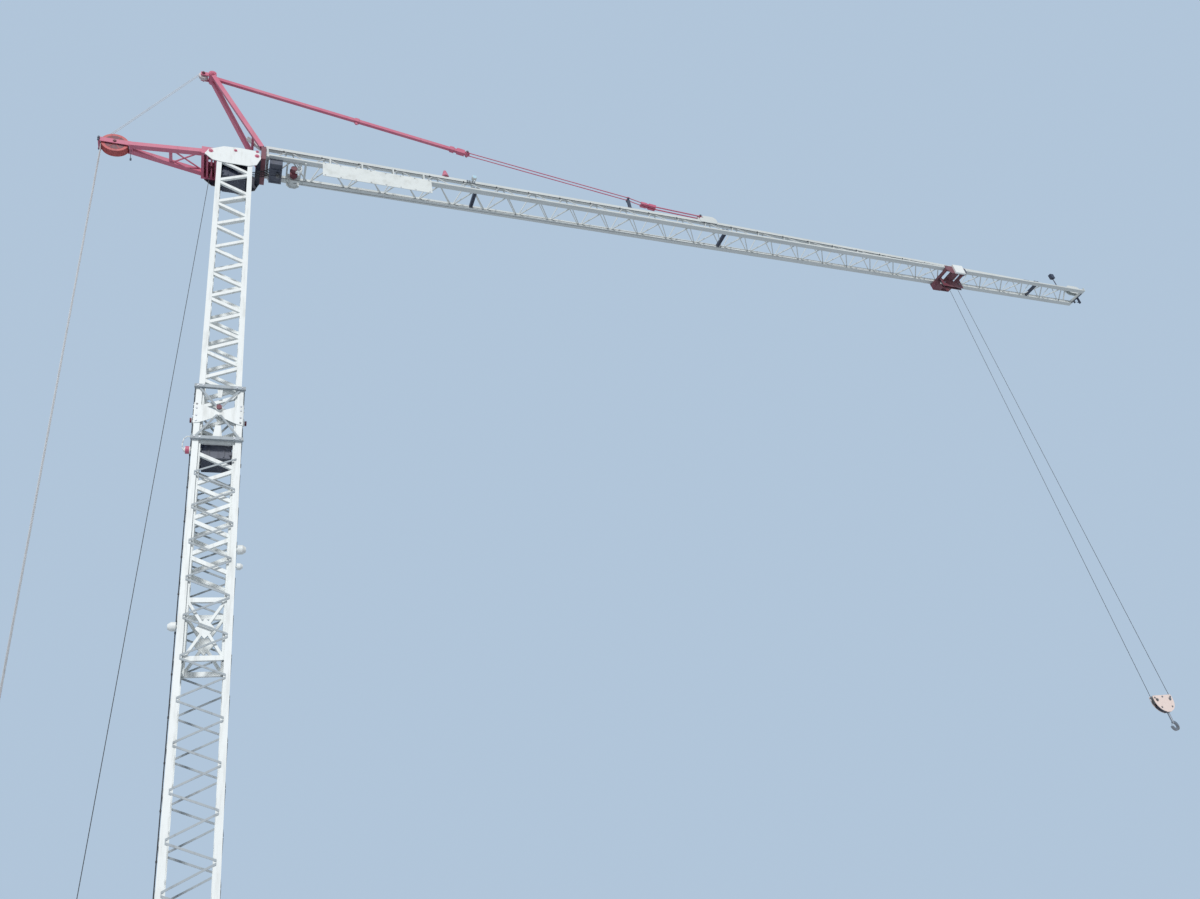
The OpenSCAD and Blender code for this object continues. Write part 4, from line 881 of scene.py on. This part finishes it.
bm = bmesh.new()
for k in range(CABINET_HOSES):
    y = cab_high.y - 0.06 - k * 0.05
    hose(bm, [(cab_high.x - 0.005, y, floor_z + 0.22), (cab_high.x + 0.07, y, floor_z + 0.20),
              (cab_high.x + 0.11, y, floor_z + 0.12), (cab_high.x + 0.12, y, floor_z - 0.03)], 0.011)
finish_piece("cabinet_hoses", bm, "platform", slide_plastic, smooth=True)

bm = bmesh.new()
block(bm, (-1.26, -0.185, floor_z), (-0.42, 0.345, floor_z + 0.006), 0.002)
finish_piece("deck_plate", bm, "platform", grey_paint)

# %% [markdown]
# On the lower mast a thick cable climbs outside one corner, held by clips at even steps. It could be a
# curve, but it hangs straight by its weight, so one rod is right, and the clips make it read as a cable.

# %% Cable of the lower mast
CABLE_Y = -0.235
CABLE_R = 0.0075
CLIP_STEP = 0.585

leg_low, leg_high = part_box("lower_mast_legs")
collar_low, collar_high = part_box("mast_collars")
cable_x = leg_low.x - 0.019
bm = bmesh.new()
rod(bm, (cable_x, CABLE_Y, leg_low.z), (cable_x, CABLE_Y, collar_high.z + 0.04), CABLE_R, 10)
z = leg_low.z + 0.3
while z < collar_high.z:
    block(bm, (cable_x - 0.011, CABLE_Y - 0.014, z), (cable_x + 0.011, CABLE_Y + 0.014, z + 0.022))
    z += CLIP_STEP
finish_piece("mast_cable", bm, "platform", slide_plastic)

# %% [markdown]
# Lamps sit on the corners of the lower mast. Each gets a pale lens, and the topmost one a red cap and a bent
# tube that holds it to the collar. The lamps differ only in side, height and size, so a short table of
# those three describes them.

# %% Lamps of the lower mast
LAMP_D = 0.14
LAMPS = ((1, 7.693, 1.0), (1, 7.418, 0.7), (-1, 6.4995, 0.9), (-1, 9.401, 0.8))
TOP_LAMP = LAMPS[-1]

lamp_y = leg_low.y + 0.045
bm = bmesh.new()
for side, z, size in LAMPS:
    end = leg_high.x + 0.015 + size * LAMP_D * 0.8
    rod(bm, (side * end, lamp_y, z), (side * (end + 0.005), lamp_y, z), size * LAMP_D * 0.26, 24)
finish_piece("lamp_lenses", bm, "platform", white_paint)

side, z, size = TOP_LAMP
bm = bmesh.new()
rod(bm, (side * 0.385, lamp_y, z), (side * 0.440, lamp_y, z), size * LAMP_D / 2 + 0.004, 24)
finish_piece("lamp_cap", bm, "platform", red_paint)

bm = bmesh.new()
hose(bm, [(-0.365, -0.385, 9.60), (-0.425, -0.385, 9.60), (-0.468, -0.365, 9.57), (-0.486, -0.335, 9.51),
          (-0.486, -0.315, 9.44), (-0.470, -0.308, 9.40), (-0.452, -0.308, 9.40)], 0.008)
finish_piece("lamp_bracket", bm, "platform", white_paint, smooth=True)

# %% [markdown]
# The bars of the collars are bolted near their ends, and the cross plates between them along both edges.
# One side could be made and mirrored, but the mast is square, so a bolt on one side simply has its twin on
# the next, with x and y changed over.

# %% Bolts of the collars
BAR_MIDDLE = 0.028
BAR_BOLTS_X = (-0.33, -0.25, 0.25, 0.33)
PLATE_BOLTS_Z = (9.93, 10.03, 10.17, 10.25)
PLATE_EDGES = (-0.325, 0.325)

plate_face = leg_high.x + 0.012
places = []
for z in (collar_low.z + BAR_MIDDLE, collar_high.z - BAR_MIDDLE):
    for s in BOTH:
        for x in BAR_BOLTS_X:
            places.append(((x, s * collar_high.y, z), (0, s, 0)))
for z in PLATE_BOLTS_Z:
    for s in BOTH:
        for edge in PLATE_EDGES:
            places.append(((edge, s * plate_face, z), (0, s, 0)))
            places.append(((s * plate_face, edge, z), (s, 0, 0)))
bolts("collar_bolts", places, 0.022, 0.010, "platform")

# %% [markdown]
# Between the tubes of the inner mast there is more than air. A dark navy beam with catches holds it up
# inside the outer mast, and the box under the head carries the sheaves. The box under the head is dark navy
# as painted shade, for the shade inside the head. Both are welded from plate with ribs, so one function makes
# them, and only their heights differ.

# %% Catch beam and head box
TUBE_IN = 0.234
BOX_HALF = 0.215
BEAM_LOW = 9.34
BEAM_HIGH = 9.64


def boxed(bm, half, z_low, z_high):
    """Welded box with two ribs on each of its four sides and lugs that reach the tubes of the mast."""
    skin = half - 0.006
    block(bm, (-skin, -skin, z_low), (skin, skin, z_high), 0.004)
    rib_low, rib_high = z_low + 0.02, z_high - 0.02
    for s in BOTH:
        side = s * half
        for t in BOTH:
            x = sorted((s * 0.19, s * TUBE_IN))
            y = sorted((t * 0.19, t * TUBE_IN))
            for z in (z_low + 0.05, z_high - 0.11):
                block(bm, (x[0], y[0], z), (x[1], y[1], z + 0.06))
            rib = t * half / 2
            block(bm, (rib - 0.008, side - 0.007, rib_low), (rib + 0.008, side + 0.007, rib_high))
            block(bm, (side - 0.007, rib - 0.008, rib_low), (side + 0.007, rib + 0.008, rib_high))


bm = bmesh.new()
boxed(bm, BOX_HALF, BEAM_LOW, BEAM_HIGH)
finish_piece("catch_beam", bm, "upper_mast", navy_paint)

mast_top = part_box("upper_mast_tubes")[1].z
# Painted shade: this dark navy box fills the inside of the head, where shade falls.
bm = bmesh.new()
boxed(bm, BOX_HALF, mast_top - 0.45, mast_top - 0.01)
finish_piece("head_shade_box", bm, "upper_mast", navy_paint)

# %% [markdown]
# At the head everything hangs on pins. Each pin has a round collar plate outside, screwed on so that the pin
# can't turn, and the sheaves' pins end in nuts. Two steps of round bar give such a pin end, and a shallow
# step catches enough light to show from the ground.

# %% Pins at the head
HEAD_PINS = ((0.395, 16.40, 0.042), (0.395, 16.53, 0.030), (-0.44, 16.34, 0.042), (0.0, 16.46, 0.030))
APEX = Vector((-0.54, 0, 19.05))
APEX_SHEAVE_X = -0.717
STRUT = Vector((-2.112, 0, 16.45))

plate_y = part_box("mast_head")[1].y
bm = bmesh.new()
for x, z, radius in HEAD_PINS:
    for s in BOTH:
        rod(bm, (x, s * (plate_y - 0.002), z), (x, s * (plate_y + 0.010), z), radius, 24)
        rod(bm, (x, s * (plate_y + 0.010), z), (x, s * (plate_y + 0.022), z), radius * 0.55, 20)
for s in BOTH:
    rod(bm, (APEX.x, s * 0.125, APEX.z), (APEX.x, s * 0.139, APEX.z), 0.055, 28)
    rod(bm, (APEX.x, s * 0.139, APEX.z), (APEX.x, s * 0.150, APEX.z), 0.030, 20)
finish_piece("head_pins", bm, "upper_mast", red_paint)

places = []
for s in BOTH:
    places.append(((STRUT.x, s * 0.104, STRUT.z), (0, s, 0)))
    places.append(((APEX_SHEAVE_X, s * 0.09, APEX.z), (0, s, 0)))
bolts("sheave_nuts", places, 0.044, 0.022, "upper_mast", dark_red_paint)

# %% [markdown]
# The big sheaves at the end of the strut are seen from the side, where a real one has a web behind its rim,
# a hub and six ribs. The ribs could be cut out of a thick disc, but rods laid on a thin one from hub to rim
# give the same play of light with fewer faces.

# %% Webs and ribs of the strut's sheaves
RIBS = 6
WEB_Y = 0.069
WEB_R = 0.182

# The thin webs are dark red as painted shade and grease in the recess behind the rims.
bm = bmesh.new()
for s in BOTH:
    rod(bm, (STRUT.x, s * WEB_Y, STRUT.z), (STRUT.x, s * (WEB_Y + 0.003), STRUT.z), WEB_R, 48)
finish_piece("sheave_webs", bm, "upper_mast", dark_red_paint)

bm = bmesh.new()
for s in BOTH:
    hub = Vector((STRUT.x, s * 0.070, STRUT.z))
    rod(bm, hub, hub + Vector((0, s * 0.010, 0)), 0.058, 32)
    for k in range(RIBS):
        way = Vector((cos(2 * pi * k / RIBS), 0, sin(2 * pi * k / RIBS)))
        rod(bm, hub + way * 0.05, hub + way * 0.186, 0.0075, 8)
finish_piece("sheave_ribs", bm, "upper_mast", sheave_paint)

# %% [markdown]
# Two dark stops are bolted to the end of the strut, and a switch hangs below it on a short cable. Such small
# dark things could be left out at this distance, but they break up the long red members, and a bevelled
# block or a bent rod is all that each one needs.

# %% Fittings of the strut
STOP_X = -2.383
SWITCH_X = -1.83

bm = bmesh.new()
for s in BOTH:
    block(bm, (STOP_X - 0.017, s * 0.108 - 0.014, 16.395), (STOP_X + 0.017, s * 0.108 + 0.014, 16.505), 0.004)
    hexagon(bm, (STOP_X, s * 0.122, STRUT.z), (0, s, 0), 0.030, 0.014)
hose(bm, [(SWITCH_X, 0.0, 16.395), (SWITCH_X, 0.0, 16.22), (SWITCH_X + 0.01, 0.01, 16.15)], 0.005)
block(bm, (SWITCH_X - 0.005, -0.006, 16.11), (SWITCH_X + 0.025, 0.022, 16.16), 0.004)
finish_piece("strut_fittings", bm, "upper_mast", navy_paint)

# %% [markdown]
# The jib comes in sections. Splice plates lie on both sides of the upper chord, pins join the lugs on the
# lower ones, and the ends of the tie sit on pins with nuts. The upper chord comes down slightly towards the
# tip. The plates could be turned by that small angle, but a function that gives the chord's height places
# them well enough.

# %% Joints of the jib
JIB_TOP_Z = 17.08
TAPER_FROM = 11.08
TAPER = 0.0216
JOINTS = (4.83, 11.02, 21.09)
TIE_JOINT = 11.02
SPLICE_Y = 0.043
LUG_Y = 0.2685
LUG_Z = 16.615
TIE_PINS = ((4.84, 18.066), (10.60, 17.24))
TIE_CHEEK_Y = 0.0675


def chord_z(x):
    return JIB_TOP_Z - max(0.0, x - TAPER_FROM) * TAPER


bm = bmesh.new()
places = []
for x in JOINTS:
    z = chord_z(x)
    for s in BOTH:
        if x != TIE_JOINT:
            y = s * SPLICE_Y
            block(bm, (x - 0.10, y - 0.003, z - 0.033), (x + 0.10, y + 0.003, z + 0.033), 0.001)
            for off in (-0.075, -0.03, 0.03, 0.075):
                places.append(((x + off, s * 0.046, z + 0.016), (0, s, 0)))
                places.append(((x + off, s * 0.046, z - 0.016), (0, s, 0)))
        rod(bm, (x - 0.088, s * LUG_Y, LUG_Z), (x + 0.088, s * LUG_Y, LUG_Z), 0.008, 12)
        places.append(((x - 0.080, s * LUG_Y, LUG_Z), (-1, 0, 0)))
        places.append(((x + 0.080, s * LUG_Y, LUG_Z), (1, 0, 0)))
finish_piece("splice_plates", bm, "upper_mast", grey_paint)
bolts("splice_bolts", places, 0.017, 0.009, "upper_mast")

places = []
for x, z in TIE_PINS:
    for s in BOTH:
        places.append(((x, s * TIE_CHEEK_Y, z), (0, s, 0)))
bolts("tie_nuts", places, 0.040, 0.018, "upper_mast")

# %% [markdown]
# A cable runs along the jib under its upper chord, held by clips at even steps. It could sag a little between
# them, but the clips are close, so it is straight and bends once only, where the chord starts to come down.

# %% Cable along the jib
CABLE_DROP = 0.055
CLIPS_FROM = 0.9
CLIPS_TO = 22.5
JIB_CLIP_STEP = 0.75

bm = bmesh.new()
hose(bm, [(x, -0.047, chord_z(x) - CABLE_DROP) for x in (0.62, TAPER_FROM, 22.55)], 0.006)
x = CLIPS_FROM
while x < CLIPS_TO:
    z = chord_z(x) - CABLE_DROP
    block(bm, (x, -0.056, z - 0.009), (x + 0.018, -0.034, z + 0.022))
    x += JIB_CLIP_STEP
finish_piece("jib_cable", bm, "upper_mast", slide_plastic)

# %% [markdown]
# The working lamp on the jib has a bluish lens on both sides, and at the root hoses loop from the mast to the
# machinery box, with two pale pipes behind it. Glass could be a glass shader, but a lens seen from outside
# by day only shows a smooth tinted face, which glossy paint gives with less noise.

# %% Lamp and hoses of the jib
ROOT_HOSES = 4

lens_blue = paint("lens_blue", (0.45, 0.66, 0.78), DUST, rust=0.0, rough=0.18)
lamp_low, lamp_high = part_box("jib_lamp")
lamp_x = (lamp_low.x + lamp_high.x) / 2
lamp_z = lamp_high.z - 0.055
bm = bmesh.new()
for s in BOTH:
    rod(bm, (lamp_x, s * 0.040, lamp_z), (lamp_x, s * 0.047, lamp_z), 0.046, 28)
finish_piece("working_lamp_lens", bm, "upper_mast", lens_blue)

bm = bmesh.new()
for k in range(ROOT_HOSES):
    y = 0.06 - k * 0.045
    hose(bm, [(0.645, y, box_low.z + 0.05), (0.60, y, box_low.z - 0.01), (0.52, y - 0.02, box_low.z - 0.09),
              (0.40, y - 0.03, box_low.z - 0.16), (0.30, y - 0.03, box_low.z - 0.20)], 0.009)
finish_piece("root_hoses", bm, "upper_mast", slide_plastic, smooth=True)

bm = bmesh.new()
for y in (-0.205, -0.165):
    hose(bm, [(1.19, y, 16.50), (1.24, y, 16.44), (1.25, y, 16.37), (1.21, y, 16.30),
              (1.13, y, 16.29)], 0.011)
finish_piece("root_pipes", bm, "upper_mast", white_paint, smooth=True)

# %% [markdown]
# The banner is a thin stiff panel with folded rails behind its long edges. Four straps hook over the near
# chord and hold it, and eyelets line its hems. It could be a cloth, but a real one is stretched flat against
# the wind, so a bevelled sheet is truer. It replaces the frame's taller board.

# %% Banner
BANNER_T = 0.006
BANNER_H = 0.395
RAIL_H = 0.018
STRAP_T = 0.004
STRAP_HALF = 0.015
STRAPS = 4
EYELETS = 8

banner_low, banner_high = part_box("jib_banner")
panel_y = banner_low.y + BANNER_T
sheet_top = banner_low.z + BANNER_H
bm = bmesh.new()
block(bm, banner_low, (banner_high.x, panel_y, sheet_top), 0.001)
for z in (banner_low.z, sheet_top - RAIL_H):
    block(bm, (banner_low.x, panel_y - 0.001, z), (banner_high.x, panel_y + 0.004, z + RAIL_H), 0.001)
panel = finish_piece("banner_panel", bm, "upper_mast", banner_sheet)
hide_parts("jib_banner")

bm = bmesh.new()
for k in range(STRAPS):
    x = banner_low.x + 0.15 + k * (banner_high.x - banner_low.x - 0.30) / (STRAPS - 1)
    left, right = x - STRAP_HALF, x + STRAP_HALF
    strap_top = banner_high.z - STRAP_T
    block(bm, (left, panel_y, sheet_top - 0.10), (right, panel_y + STRAP_T, strap_top))
    block(bm, (left, panel_y, banner_high.z - 0.006), (right, banner_high.y, banner_high.z))
    block(bm, (left, banner_high.y - 0.006, banner_high.z - 0.056), (right, banner_high.y, strap_top))
finish_piece("banner_straps", bm, "upper_mast", jib_paint)

bm = bmesh.new()
for k in range(EYELETS):
    x = banner_low.x + 0.05 + k * (banner_high.x - banner_low.x - 0.10) / (EYELETS - 1)
    for z in (banner_low.z + 0.025, sheet_top - 0.025):
        ring(bm, (x, banner_low.y - 0.001, z), (0, 1, 0), 0.012, 0.003, 16, 6)
finish_piece("banner_eyelets", bm, "upper_mast", bare_steel, smooth=True)

# %% [markdown]
# The trolley's axles and its sheaves' pins end in nuts, and a dark plug box sits in front of its switch box,
# with a short cable to it. The nuts could be placed by plain numbers, but read from the trolley's own nodes
# they stay on its plates when those change.

# %% Fittings of the trolley
AXLE_OUT = 0.27
AXLE_Z = 16.5543
SHEAVE_CHEEK_Y = 0.042
RUN_TO_AXLE = 0.084

places = []
for x in (trolley_x - AXLE_OUT, trolley_x + AXLE_OUT):
    for s in BOTH:
        places.append(((x, s * frame_high.y, AXLE_Z), (0, s, 0)))
bolts("axle_nuts", places, 0.030, 0.014, "trolley")

places = []
for x in (rear_sheave_x, front_sheave_x):
    for s in BOTH:
        places.append(((x, s * SHEAVE_CHEEK_Y, run_z - RUN_TO_AXLE - ROPE_R), (0, s, 0)))
bolts("trolley_sheave_nuts", places, 0.040, 0.018, "trolley")

bm = bmesh.new()
block(bm, (18.296, -0.366, 16.39), (18.372, -0.338, 16.52), 0.004)
hose(bm, [(18.33, -0.352, 16.39), (18.33, -0.352, 16.34), (18.29, -0.340, 16.31),
          (18.24, -0.30, 16.30)], 0.008)
finish_piece("trolley_plug", bm, "trolley", navy_paint)

# %% [markdown]
# Bolts with long sleeves keep the two cheeks of the hook block apart, and bigger nuts sit on the pins of its
# sheaves. Across the mouth of the hook lies a sprung latch. It could be a folded tongue, but a round bar on
# a small pin looks the same in the small dark hook. It rides on the hook, so it turns with it.

# %% Fittings of the hook block
PIN_Z = 4.70
SLEEVES = ((-0.225, 0.045), (0.225, 0.045), (0.0, 0.055), (-0.15, -0.155), (0.15, -0.155))
BLOCK_SHEAVE_R = 0.10
BOWL_UP = 0.097

cheek_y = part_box("hook_block")[1].y
places = []
for x, z in SLEEVES:
    for s in BOTH:
        places.append(((trolley_x + x, s * cheek_y, PIN_Z + z), (0, s, 0)))
bolts("block_bolts", places, 0.026, 0.013, "hook_block")

sheave_low, sheave_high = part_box("block_sheaves")
places = []
for x in (sheave_low.x + BLOCK_SHEAVE_R, sheave_high.x - BLOCK_SHEAVE_R):
    for s in BOTH:
        places.append(((x, s * cheek_y, PIN_Z), (0, s, 0)))
bolts("block_sheave_nuts", places, 0.044, 0.020, "hook_block")

bowl = Vector((trolley_x, 0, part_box("hook")[0].z + BOWL_UP))
bm = bmesh.new()
rod(bm, bowl + Vector((-0.020, 0, 0.078)), bowl + Vector((-0.082, 0, 0.002)), 0.0055, 10)
rod(bm, bowl + Vector((-0.022, -0.020, 0.076)), bowl + Vector((-0.022, 0.020, 0.076)), 0.008, 12)
finish_piece("hook_latch", bm, "hook", bare_steel)
